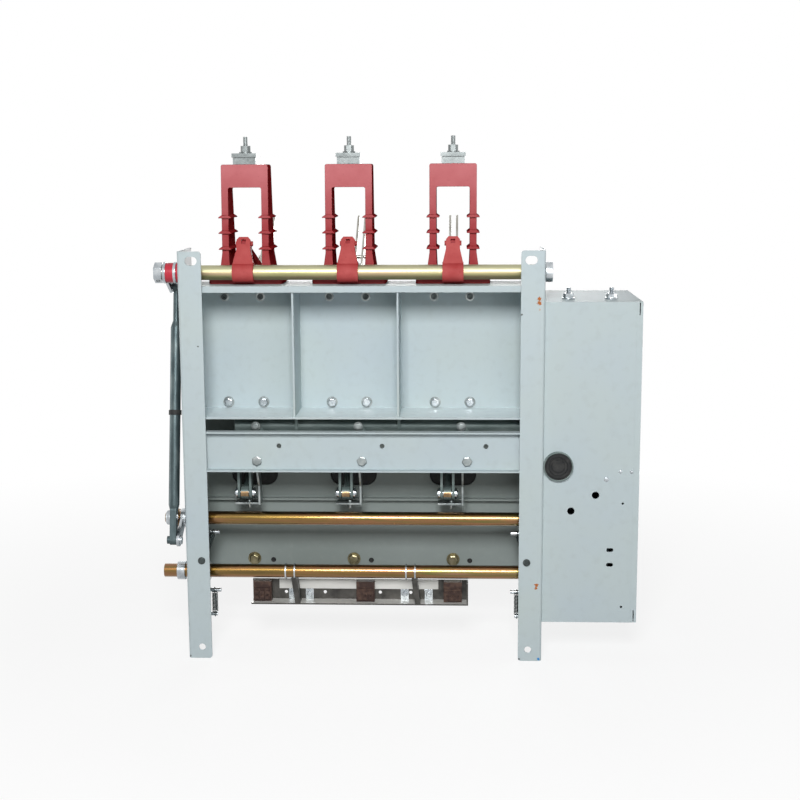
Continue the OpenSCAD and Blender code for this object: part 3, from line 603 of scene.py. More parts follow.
class Bench:
    """Hand work on meshes with Blender's operators."""

    @staticmethod
    def clear() -> None:
        """Leave edit mode and drop the selection."""
        if bpy.context.object and bpy.context.object.mode != "OBJECT":
            bpy.ops.object.mode_set(mode="OBJECT")
        bpy.ops.object.select_all(action="DESELECT")

    @staticmethod
    def take(piece: Piece) -> None:
        """Make one piece the only selected and active one."""
        Bench.clear()
        bpy.context.view_layer.objects.active = piece
        piece.select_set(True)

    @staticmethod
    @contextmanager
    def editing(piece: Piece) -> Iterator[None]:
        """Hold a piece in edit mode with nothing selected.

        Args:
            piece: The piece to edit.
        """
        Bench.take(piece)
        bpy.ops.object.mode_set(mode="EDIT")
        bpy.ops.mesh.select_mode(type="FACE")
        bpy.ops.mesh.select_all(action="DESELECT")
        yield
        bpy.ops.object.mode_set(mode="OBJECT")

    @staticmethod
    def pick(piece: Piece, test: FaceTest) -> None:
        """Select the faces that pass a test, in edit mode.

        Args:
            piece: The piece that is being edited.
            test: Given a face's middle and normal, tells whether it is taken.
        """
        shape = bmesh.from_edit_mesh(piece.data)
        for face in shape.faces:
            face.select_set(test(face.calc_center_median(), face.normal))
        bmesh.update_edit_mesh(piece.data)

    @staticmethod
    def settle() -> Piece:
        """Put the active object's place, turn and scale into its mesh, and return it."""
        bpy.ops.object.transform_apply(location=True, rotation=True, scale=True)
        return bpy.context.object

    @staticmethod
    def drum(radius: float, low: float, high: float, sides: int = 32) -> Piece:
        """Add a cylinder along Z, in millimetres, and leave it active.

        Args:
            radius: Its radius to the corners.
            low: Its lower end.
            high: Its upper end.
            sides: How many sides it has.

        Returns:
            The new object.
        """
        Bench.clear()
        bpy.ops.mesh.primitive_cylinder_add(
            vertices=sides, radius=radius * MM, depth=(high - low) * MM,
            location=(0, 0, (low + high) / 2 * MM))
        return Bench.settle()

    @staticmethod
    def block(low: Point, high: Point) -> Piece:
        """Add a box between two corners, in millimetres, and leave it active.

        Args:
            low: Its lowest corner.
            high: Its highest corner.

        Returns:
            The new object.
        """
        Bench.clear()
        first, last = Vector(low) * MM, Vector(high) * MM
        bpy.ops.mesh.primitive_cube_add(size=1.0, location=(first + last) / 2)
        bpy.context.object.scale = last - first
        return Bench.settle()

    @staticmethod
    def grow(rise: float, scale: float = 1.0) -> None:
        """Draw the selected faces out along Z, in millimetres, and scale their new ends."""
        bpy.ops.mesh.extrude_region_move(TRANSFORM_OT_translate={"value": (0, 0, rise * MM)})
        bpy.ops.transform.resize(value=(scale, scale, 1))

    @staticmethod
    def step_ends(piece: Piece, *steps: Pair, test: FaceTest = looks_up) -> Piece:
        """Inset a piece's end again and again, and move each new face along Z.

        Args:
            piece: The piece.
            *steps: Each step's inset and rise, in millimetres.
            test: Tells which faces are the end.

        Returns:
            The same piece.
        """
        with Bench.editing(piece):
            Bench.pick(piece, test)
            for inset, rise in steps:
                bpy.ops.mesh.inset(thickness=inset * MM)
                bpy.ops.transform.translate(value=(0, 0, rise * MM))
        return piece

    @staticmethod
    def socket(piece: Piece, rim: float, depth: float) -> None:
        """Sink a socket in a piece's top.

        Args:
            piece: The piece.
            rim: The width left round the socket, in millimetres.
            depth: The socket's depth, in millimetres.
        """
        with Bench.editing(piece):
            Bench.pick(piece, looks_up)
            bpy.ops.mesh.inset(thickness=rim * MM)
            Bench.grow(-depth)

    @staticmethod
    def soften(piece: Piece, width: float, angle: float = 30.0, segments: int = 2,
               smooth: float = 40.0) -> Piece:
        """Round a piece's edges and smooth its shading.

        Args:
            piece: The piece.
            width: The rounding's width in millimetres.
            angle: The least turn of an edge that is rounded, in degrees.
            segments: How many faces round an edge.
            smooth: The most turn of an edge that is shaded smooth, in degrees.

        Returns:
            The same piece.
        """
        Bench.take(piece)
        rounding = piece.modifiers.new("rounding", "BEVEL")
        rounding.width = width * MM
        rounding.segments = segments
        rounding.limit_method = "ANGLE"
        rounding.angle_limit = math.radians(angle)
        bpy.ops.object.modifier_apply(modifier=rounding.name)
        bpy.ops.object.shade_smooth_by_angle(angle=math.radians(smooth))
        flats = piece.modifiers.new("flats", "WEIGHTED_NORMAL")
        flats.keep_sharp = True
        flats.weight = 100
        bpy.ops.object.modifier_apply(modifier=flats.name)
        return piece

    @staticmethod
    def saw(piece: Piece, at: Point, away: Point) -> None:
        """Saw off what lies beyond a plane, and close the cut.

        Args:
            piece: The piece.
            at: A point of the plane, in millimetres.
            away: The way to the side that goes.
        """
        with Bench.editing(piece):
            bpy.ops.mesh.select_all(action="SELECT")
            bpy.ops.mesh.bisect(
                plane_co=Vector(at) * MM, plane_no=away, clear_outer=True, use_fill=True, threshold=FINE)

    @staticmethod
    def bore(piece: Piece, tool: Piece) -> Piece:
        """Cut a tool's shape out of a piece and drop the tool.

        Args:
            piece: The piece.
            tool: The shape to take out.

        Returns:
            The same piece.
        """
        Bench.take(piece)
        hole = piece.modifiers.new("hole", "BOOLEAN")
        hole.operation = "DIFFERENCE"
        hole.object = tool
        bpy.ops.object.modifier_apply(modifier=hole.name)
        bpy.data.objects.remove(tool)
        return piece

    @staticmethod
    def join(pieces: Sequence[Piece], name: str) -> Piece:
        """Join pieces into one.

        Args:
            pieces: The pieces, which become part of the first.
            name: The joined piece's name.

        Returns:
            The joined piece.
        """
        Bench.clear()
        for piece in pieces:
            piece.select_set(True)
        bpy.context.view_layer.objects.active = pieces[0]
        if len(pieces) > 1:
            bpy.ops.object.join()
        pieces[0].name = pieces[0].data.name = name
        return pieces[0]

    @staticmethod
    def copy_at(master: Piece, at: Point, facing: Facing, turn: float) -> Piece:
        """Copy a master that was modelled on its seat, looking up.

        Args:
            master: The modelled piece.
            at: Where its seat's middle goes, in millimetres.
            facing: The way that its top looks.
            turn: How far it is turned on its own axis, in degrees.

        Returns:
            The copy, with a mesh of its own and its place in that mesh.
        """
        copy = bpy.data.objects.new(master.name, master.data.copy())
        bpy.context.scene.collection.objects.link(copy)
        aim = Vector(facing.value).to_track_quat("Z", "Y").to_matrix().to_4x4()
        spin = Matrix.Rotation(math.radians(turn), 4, "Z")
        copy.data.transform(Matrix.Translation(Vector(at) * MM) @ aim @ spin)
        return copy

    @staticmethod
    def repeat(master: Piece, name: str, seats: Sequence[Seat]) -> Piece:
        """Copy a master to many seats, join the copies and drop the master.

        Args:
            master: The modelled piece.
            name: The joined piece's name.
            seats: Each seat's middle, facing and turn.

        Returns:
            The joined copies.
        """
        copies = [Bench.copy_at(master, *seat) for seat in seats]
        bpy.data.objects.remove(master)
        return Bench.join(copies, name)

    @staticmethod
    def from_node(node: Piece, name: str) -> Piece:
        """Copy a solid's mesh into a piece of its own, merged and with flat areas made whole.

        Args:
            node: The solid's object.
            name: The new piece's name.

        Returns:
            The new piece.
        """
        piece = bpy.data.objects.new(name, node.data.copy())
        bpy.context.scene.collection.objects.link(piece)
        piece.data.materials.clear()
        with Bench.editing(piece):
            bpy.ops.mesh.select_all(action="SELECT")
            bpy.ops.mesh.remove_doubles(threshold=WELD)
            bpy.ops.mesh.dissolve_limited(angle_limit=math.radians(1.0))
        if piece.data.has_custom_normals:
            bpy.ops.mesh.customdata_custom_splitnormals_clear()
        return piece


@dataclass(frozen=True)
class HexBolt:
    """A hexagon bolt on a washer, modelled on its seat and looking up."""

    corner: float
    head: float
    washer: float = 0.0
    washer_thick: float = 2.0
    stud: float = 0.0
    stud_out: float = 0.0
    edge: float = 0.35
    chamfer: float = 0.16
    crown: float = 0.14
    pitch: float = 1.5
    root: float = 0.86
    tip: Pair = (0.8, 0.8)
    held: float = 0.5

    def model(self) -> Piece:
        """Model one bolt.

        Returns:
            The bolt, to be copied to its seats.
        """
        parts = []
        seat = 0.0
        if self.washer:
            parts.append(Bench.soften(Bench.drum(self.washer, 0.0, self.washer_thick, 36), self.edge))
            seat = self.washer_thick
        hexagon = Bench.drum(self.corner, seat - SUNK, seat + self.head, 6)
        Bench.step_ends(hexagon, (self.corner * self.chamfer, self.head * self.crown))
        parts.append(Bench.soften(hexagon, self.edge, angle=25.0, segments=1, smooth=15.0))
        if self.stud:
            parts.append(self.thread(seat + self.head))
        return Bench.join(parts, "hex_bolt")

    def thread(self, low: float) -> Piece:
        """Model the threaded end that stands out of a nut.

        Args:
            low: Where it starts.

        Returns:
            The threaded end.
        """
        end = Bench.drum(self.stud, low - self.held, low, 24)
        with Bench.editing(end):
            Bench.pick(end, looks_up)
            for _ in range(int(self.stud_out / self.pitch)):
                Bench.grow(self.pitch / 2, self.root)
                Bench.grow(self.pitch / 2, 1 / self.root)
            Bench.grow(*self.tip)
        return end


@dataclass(frozen=True)
class SocketBolt:
    """A round-headed socket bolt on a washer, modelled on its seat and looking up."""

    head_radius: float
    head: float
    socket: float
    washer: float
    washer_thick: float = 2.0
    socket_depth: float = 0.7
    edge: float = 0.35
    head_edge: float = 0.5

    def model(self) -> Piece:
        """Model one bolt.

        Returns:
            The bolt, to be copied to its seats.
        """
        ring = Bench.soften(Bench.drum(self.washer, 0.0, self.washer_thick, 36), self.edge)
        head = Bench.drum(self.head_radius, self.washer_thick - SUNK, self.washer_thick + self.head, 36)
        Bench.socket(head, self.head_radius - self.socket, self.head * self.socket_depth)
        return Bench.join([ring, Bench.soften(head, self.head_edge)], "socket_bolt")


@dataclass(frozen=True)
class CoilSpring:
    """A wound extension spring with a loop at each end."""

    low_eye: float
    low_along_y: bool
    high_eye: float = 4.0
    coil: float = 6.5
    wire: float = 1.8
    pitch: float = 1.55
    lead: float = 0.8
    eye_gap: float = 0.3
    turn_steps: int = 18

    def ring(self, radius: float, along_y: bool, at: Point) -> Piece:
        """Model an end loop round its pin.

        Args:
            radius: The pin's radius.
            along_y: Whether the pin lies along Y and not X.
            at: The pin's middle.

        Returns:
            The loop.
        """
        Bench.clear()
        turn = (math.pi / 2, 0, 0) if along_y else (0, math.pi / 2, 0)
        bpy.ops.mesh.primitive_torus_add(
            major_radius=(radius + self.eye_gap + self.wire / 2) * MM, minor_radius=self.wire / 2 * MM,
            major_segments=28, minor_segments=8, location=Vector(at) * MM, rotation=turn)
        loop = Bench.settle()
        bpy.ops.object.shade_smooth()
        return loop

    def model(self, name: str, high: Point, low: Point) -> Piece:
        """Model the spring between two pins.

        Args:
            name: The piece's name.
            high: The upper pin's middle, in millimetres.
            low: The lower pin's middle, in millimetres.

        Returns:
            The spring, in place.
        """
        top, foot = Vector(high), Vector(low)
        run = foot - top
        start = self.high_eye + self.wire * self.lead
        length = run.length - start - self.low_eye - self.wire * self.lead
        turns = int(length / (self.wire * self.pitch))
        Bench.clear()
        bpy.ops.mesh.primitive_circle_add(
            vertices=8, radius=self.wire / 2 * MM, location=((self.coil - self.wire / 2) * MM, 0, 0),
            rotation=(math.pi / 2, 0, 0))
        coil = Bench.settle()
        winding = coil.modifiers.new("winding", "SCREW")
        winding.angle = math.tau
        winding.iterations = turns
        winding.screw_offset = length / turns * MM
        winding.steps = winding.render_steps = self.turn_steps
        bpy.ops.object.modifier_apply(modifier=winding.name)
        with Bench.editing(coil):
            bpy.ops.mesh.select_all(action="SELECT")
            bpy.ops.mesh.remove_doubles(threshold=FINE)
            bpy.ops.mesh.fill_holes(sides=10)
            bpy.ops.mesh.normals_make_consistent(inside=False)
        bpy.ops.object.shade_smooth_by_angle(angle=math.radians(60))
        aim = run.to_track_quat("Z", "Y").to_matrix().to_4x4()
        coil.data.transform(Matrix.Translation((top + run.normalized() * start) * MM) @ aim)
        loops = [self.ring(self.high_eye, False, high), self.ring(self.low_eye, self.low_along_y, low)]
        return Bench.join([coil, *loops], name)


@dataclass
class Assembly:
    """What the switch's sub-assemblies share: its solids, common places, and how a piece is fitted."""

    nodes: dict[str, Piece]
    poles: tuple[float, ...] = (102.0, 312.0, 522.0)
    span: float = 680.0
    shaft_y: float = 45.0
    spring_x: float = 25.0

    def fit(self, piece: Piece, body: Body, finish: Finish, *replaced: str) -> Piece:
        """Finish a piece and set it on its body.

        Args:
            piece: The piece, in place.
            body: The body that it rides on.
            finish: Its finish.
            *replaced: The solids that it stands for.

        Returns:
            The same piece.
        """
        piece.data.materials.append(Paints.of(finish))
        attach(piece, body.value)
        if replaced:
            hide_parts(*replaced)
        LOG.info("fitted %s on %s", piece.name, body.value)
        return piece

    def rounded(self, name: str, body: Body, finish: Finish, width: float) -> Piece:
        """Stand a copy with its edges rounded by a width in a solid's place."""
        piece = Bench.soften(Bench.from_node(self.nodes[name], name + "_finished"), width)
        return self.fit(piece, body, finish, name)

    def seated(self, name: str, master: Piece, seats: Sequence[Seat], body: Body,
               finish: Finish) -> Piece:
        """Copy a master to its seats and fit the copies as one piece."""
        return self.fit(Bench.repeat(master, name, seats), body, finish)

    def second_tone(self, piece: Piece, finish: Finish, test: FaceTest) -> None:
        """Give some faces of a piece another finish.

        Args:
            piece: The piece.
            finish: The other finish.
            test: Given a face's middle in millimetres and its normal, tells whether it is taken.
        """
        piece.data.materials.append(Paints.of(finish))
        last = len(piece.data.materials) - 1
        for face in piece.data.polygons:
            if test(face.center / MM, face.normal):
                face.material_index = last

    def wind(self, form: CoilSpring, node: str, body: Body, high_x: float, low_x: float,
             heights: Pair) -> None:
        """Wind a pair of springs that the frame holds below and a moving body above.

        Args:
            form: The spring's form.
            node: The solid that the pair stands for.
            body: The moving body; not used.
            high_x: Where the left spring's upper pin is along X.
            low_x: Where its lower pin is along X.
            heights: The lower and the upper pin's heights.
        """
        low, high = heights
        sides = ((high_x, low_x), (self.span - high_x, self.span - low_x))
        pair = [form.model(node + "_coil", (upper, self.shaft_y, high), (lower, self.shaft_y, low))
                for upper, lower in sides]
        piece = Bench.join(pair, node + "_wound")
        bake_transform(piece)
        piece.data.materials.append(Paints.of(Paints.SPRING))
        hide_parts(node)
        LOG.info("fitted %s", piece.name)


@dataclass
class FrameSteel(Assembly):
    """The painted posts, channel, beam and plates, with their bolts."""

    sheet_edge: float = 0.5
    post_rear: float = 134.5
    web_face: float = 132.0
    floor_below: float = 520.0
    plate_back: float = 136.1
    flap_half: float = 55.0
    flap_thick: float = 2.6
    flap_heights: Pair = (333.0, 391.0)
    rod_at: Pair = (-11.0, 370.3)
    rod_hole: Pair = (9.0, 1.2)
    hole_reach: float = 8.0
    flap_edge: float = 0.6
    plug_radius: float = 5.4
    plug_thick: float = 0.9
    plug_edge: float = 0.25
    plug_at: Pair = (36.0, 174.0)
    plug_steps: tuple[Pair, ...] = ((0.8, 0.5), (0.9, -0.5), (0.4, -0.5))
    stud_at: Pair = (8.0, 209.0)
    high_bolts: tuple[float, ...] = (47.2, 122.3, 265.7, 341.3, 482.8, 556.9)
    high_bolt_z: float = 738.5
    low_bolts: tuple[float, ...] = (50.7, 124.7, 268.8, 341.5, 484.8, 557.5)
    low_bolt_z: float = 516.9
    beam_face: float = 21.0
    beam_bolts: tuple[float, ...] = (123.6, 337.7, 550.9)
    beam_bolt_z: float = 414.0
    panel_bolts: tuple[float, ...] = (97.6, 311.0, 522.4)
    panel_bolt_z: float = 177.0
    bolt_turn: float = 17.0
    washer_depth: float = 2.1

    def build(self) -> None:
        """Round and paint the sheet metal and bolt it together."""
        for name in ("left_post", "right_post"):
            post = Bench.from_node(self.nodes[name], name + "_finished")
            Bench.saw(post, (0.0, self.post_rear, 0.0), Facing.BACK.value)
            self.fit(Bench.soften(post, self.sheet_edge), Body.FRAME, Paints.POST, name)
        for name in ("middle_beam", "channel_ribs"):
            self.rounded(name, Body.FRAME, Paints.FRAME, self.sheet_edge)
        channel = self.rounded("upper_channel", Body.FRAME, Paints.FRAME, self.sheet_edge)
        # The channel's floor takes the lighter paint, a painted sheen.
        self.second_tone(channel, Paints.CHANNEL_FLOOR_SHEEN,
                         lambda middle, normal: normal.z > 0.5 and middle.z < self.floor_below)
        # The recessed plates take the darker paint, painted shade.
        for name in ("slotted_plate", "lower_panel"):
            self.rounded(name, Body.FRAME, Paints.SHADED_PLATES, self.sheet_edge)
        # Dark sheets behind the oblong holes stand in for the shade seen through them.
        self.fit(self.shade_flaps(), Body.FRAME, Paints.RUBBER)
        plug = Bench.step_ends(Bench.drum(self.plug_radius, 0.0, self.plug_thick, 28), *self.plug_steps)
        along, height = self.plug_at
        seats = [((pole + along, self.web_face, height), Facing.FRONT, 0.0) for pole in self.poles]
        self.seated("panel_plugs", Bench.soften(plug, self.plug_edge), seats, Body.FRAME, Paints.RUBBER)
        self.bolts()

    def shade_flaps(self) -> Piece:
        """Cut dark rubber sheets behind the oblong holes, a painted shade that darkens the view through them,
        each with a hole for its rod.

        Returns:
            The flaps, in place.
        """
        low, high = self.flap_heights
        radius, stretch = self.rod_hole
        flaps = []
        for pole in self.poles:
            flap = Bench.block((pole - self.flap_half, self.plate_back, low),
                               (pole + self.flap_half, self.plate_back + self.flap_thick, high))
            tool = Bench.drum(radius, -self.hole_reach, self.hole_reach)
            with Bench.editing(tool):
                bpy.ops.mesh.select_all(action="SELECT")
                bpy.ops.transform.resize(value=(1.0, stretch, 1.0))
            at = (pole + self.rod_at[0], self.plate_back, self.rod_at[1])
            hole = Bench.repeat(tool, "rod_hole", [(at, Facing.FRONT, 0.0)])
            flaps.append(Bench.soften(Bench.bore(flap, hole), self.flap_edge, smooth=5.0))
        return Bench.join(flaps, "shade_flaps")

    def bolts(self) -> None:
        """Bolt the channel's web, the beam and the lower panel, and screw the studs to the posts."""
        studs = (self.stud_at[0], self.span - self.stud_at[0])
        rows = (
            ("web_bolts_high", SocketBolt(head_radius=6.4, head=4.0, socket=3.4, washer=9.5),
             Paints.BLACK_OXIDE, self.high_bolts, self.web_face, self.high_bolt_z),
            ("web_bolts_low", HexBolt(corner=9.2, head=6.0, washer=11.6),
             Paints.ZINC, self.low_bolts, self.web_face, self.low_bolt_z),
            ("beam_bolts", HexBolt(corner=10.6, head=4.5),
             Paints.DULL_ZINC, self.beam_bolts, self.beam_face, self.beam_bolt_z),
            ("panel_bolts", HexBolt(corner=10.6, head=7.0, washer=14.0),
             Paints.OLIVE_ZINC, self.panel_bolts, self.web_face, self.panel_bolt_z),
            ("stud_screws", SocketBolt(head_radius=6.4, head=1.6, socket=3.4, washer=7.6),
             Paints.BLACK_OXIDE, studs, 0.0, self.stud_at[1]),
        )
        for name, bolt, finish, places, face, height in rows:
            seats = [((x, face, height), Facing.FRONT, self.bolt_turn * i) for i, x in enumerate(places)]
            row = self.seated(name, bolt.model(), seats, Body.FRAME, finish)
            if finish in (Paints.BLACK_OXIDE, Paints.ZINC):
                self.second_tone(row, Paints.DULL_ZINC,
                                 lambda middle, normal: middle.y > self.web_face - self.washer_depth)


@dataclass
class MechanismBox(Assembly):
    """The painted box on the right with its cover, screws and cable gland."""

    edge: float = 0.9
    front: float = 12.0
    top: float = 738.0
    side: float = 897.0
    screws: tuple[tuple[float, float, float], ...] = (
        (831.0, 380.0, 5.2), (859.0, 396.0, 3.6), (881.0, 395.5, 3.6))
    top_bolts: tuple[Pair, ...] = ((755.0, 79.0), (841.3, 79.0))
    bolt_turn: float = 20.0
    cover_screws: tuple[Pair, ...] = tuple((y, z) for y in (26.0, 258.0) for z in (110.0, 410.0, 712.0))
    cover_screw: float = 4.2
    screw_sink: float = 1.9
    sink_radius: float = 5.2
    screw_thick: float = 0.8
    screw_steps: tuple[Pair, ...] = ((0.7, 0.86), (0.3, 0.78))
    gland: Pair = (734.0, 407.0)
    gland_radius: float = 30.0
    gland_back: float = 12.0
    gland_front: float = 4.0
    gland_inner: float = -9.5
    gland_rim: float = 27.3
    gland_edge: float = 0.5
    least_inset: float = 0.05
    gland_steps: tuple[Pair, ...] = (
        (27.6, 0.0), (27.0, -2.4), (24.6, -2.4), (23.8, -0.8), (19.4, -0.8),
        (18.4, -3.6), (13.4, -4.2), (12.6, -2.2), (9.0, -2.2), (3.0, -3.2))

    def build(self) -> None:
        """Round and paint the box, screw it together and fit the gland."""
        self.rounded("mechanism_box", Body.FRAME, Paints.FRAME, self.edge)
        cover = Bench.from_node(self.nodes["box_side_cover"], "box_side_cover_finished")
        for y, z in self.cover_screws:
            tool = Bench.drum(self.sink_radius, -self.screw_sink, 1.0)
            Bench.bore(cover, Bench.repeat(tool, "screw_sink", [((self.side, y, z), Facing.RIGHT, 0.0)]))
        self.fit(Bench.soften(cover, self.edge), Body.FRAME, Paints.FRAME, "box_side_cover")
        gland = self.fit(self.gland_piece(), Body.FRAME, Paints.RUBBER, "cable_gland")
        self.second_tone(gland, Paints.SHADED_STEEL,
                         lambda middle, normal: math.dist((middle.x, middle.z), self.gland) > self.gland_rim)
        self.fit(self.screw_heads(), Body.FRAME, Paints.ZINC)
        bolt = HexBolt(corner=10.5, head=8.0, washer=13.0, washer_thick=2.5, stud=5.0, stud_out=12.0)
        seats = [((x, y, self.top), Facing.UP, self.bolt_turn) for x, y in self.top_bolts]
        self.seated("box_top_bolts", bolt.model(), seats, Body.FRAME, Paints.ZINC)

    def screw_heads(self) -> Piece:
        """Model the domed screws on the box's front and cover.

        Returns:
            The screws, in place.
        """
        places = [((x, self.front, z), Facing.FRONT, radius) for x, z, radius in self.screws]
        places += [((self.side - self.screw_sink, y, z), Facing.RIGHT, self.cover_screw)
                   for y, z in self.cover_screws]
        heads = []
        for at, facing, radius in places:
            head = Bench.drum(radius, 0.0, self.screw_thick, 24)
            with Bench.editing(head):
                Bench.pick(head, looks_up)
                for rise, scale in self.screw_steps:
                    Bench.grow(rise, scale)
            bpy.ops.object.shade_smooth_by_angle(angle=math.radians(50))
            heads.append(Bench.repeat(head, "box_screw", [(at, facing, 0.0)]))
        return Bench.join(heads, "box_screws")

    def gland_piece(self) -> Piece:
        """Turn the gland: a grey rim round a dished black grommet with a raised ring.

        Returns:
            The gland, in place.
        """
        body = Bench.drum(self.gland_radius, self.gland_inner, self.gland_back - self.gland_front, 64)
        level, radius, steps = 0.0, self.gland_radius, []
        for next_radius, drop in self.gland_steps:
            steps.append((max(self.least_inset, radius - next_radius), drop - level))
            level, radius = drop, next_radius
        Bench.soften(Bench.step_ends(body, *steps), self.gland_edge, angle=35.0)
        seat = ((self.gland[0], self.gland_back, self.gland[1]), Facing.FRONT, 0.0)
        return Bench.repeat(body, "gland_turned", [seat])


@dataclass
class PoleSet(Assembly):
    """The insulators, terminals, interrupters and knives of the three poles."""

    cast_edge: float = 1.6
    small_edge: float = 0.8
    blade_edge: float = 0.6
    tongue_edge: float = 0.5
    tongue_low: float = 966.0
    foot_top: float = 780.0
    foot_across: tuple[float, ...] = (-65.0, 65.0)
    foot_along: tuple[float, ...] = (84.0, 122.0)
    bolt_turn: float = 11.0

    def build(self) -> None:
        """Finish each pole's pieces and bolt the insulators down."""
        for number in (1, 2, 3):
            self.rounded(f"insulator_{number}", Body.FRAME, Paints.EPOXY, self.cast_edge)
            self.rounded(f"interrupter_{number}", Body.FRAME, Paints.CERAMIC, self.small_edge)
        for name in ("upper_supports", "lower_supports"):
            self.rounded(name, Body.FRAME, Paints.EPOXY, self.cast_edge)
        terminals = Bench.from_node(self.nodes["top_terminals"], "top_terminals_finished")
        Bench.saw(terminals, (0.0, 0.0, self.tongue_low), Facing.DOWN.value)
        self.fit(Bench.soften(terminals, self.tongue_edge), Body.FRAME, Paints.TERMINAL, "top_terminals")
        for name in ("hinge_heads", "lower_heads"):
            self.rounded(name, Body.FRAME, Paints.ALUMINIUM, self.small_edge)
        self.rounded("knife_blades", Body.KNIVES, Paints.SILVER, self.blade_edge)
        self.rounded("pull_links", Body.PULL_LINKS, Paints.EPOXY, self.small_edge)
        seats = [((x + side, y, self.foot_top), Facing.UP, self.bolt_turn * y)
                 for x in self.poles for side in self.foot_across for y in self.foot_along]
        bolt = HexBolt(corner=7.0, head=5.0, washer=9.0)
        self.seated("foot_bolts", bolt.model(), seats, Body.FRAME, Paints.ZINC)


@dataclass
class BreakerTrain(Assembly):
    """The shaft behind the beam with its cranks, rods, pins and stops."""

    edge: float = 0.5
    stop_edge: float = 0.4
    pin_edge: float = 0.6
    eye: Pair = (70.0, 336.0)
    eye_reach: float = 14.0
    eye_band: float = 6.0
    boss_at: Pair = (17.0, 481.0)
    bolt_turn: float = 9.0

    def build(self) -> None:
        """Finish the breaker's shaft, cranks, rods and pins."""
        for name, finish, edge in (
                ("breaker_shaft", Paints.SHADED_STEEL, self.edge),
                ("shaft_hangers", Paints.SHADED_STEEL, self.edge),
                ("stop_brackets", Paints.DULL_ZINC, self.stop_edge),
                ("bell_cranks", Paints.DULL_ZINC, self.edge),
                ("clevis_pins", Paints.ZINC, self.pin_edge)):
            self.rounded(name, Body.FRAME, finish, edge)
        rods = self.rounded("pull_rods", Body.FRAME, Paints.SHADED_STEEL, self.edge)
        self.second_tone(rods, Paints.COPPER_BUSH, lambda middle, normal: math.dist(
            (middle.y, middle.z), self.eye) < self.eye_reach and abs(middle.z - self.eye[1]) < self.eye_band)
        boss_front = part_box("breaker_shaft")[0][1] / MM
        along, height = self.boss_at
        seats = [((pole + along, boss_front, height), Facing.FRONT, self.bolt_turn * pole)
                 for pole in self.poles]
        bolt = HexBolt(corner=7.4, head=4.0, washer=9.4, washer_thick=1.6)
        self.seated("boss_bolts", bolt.model(), seats, Body.FRAME, Paints.DULL_ZINC)


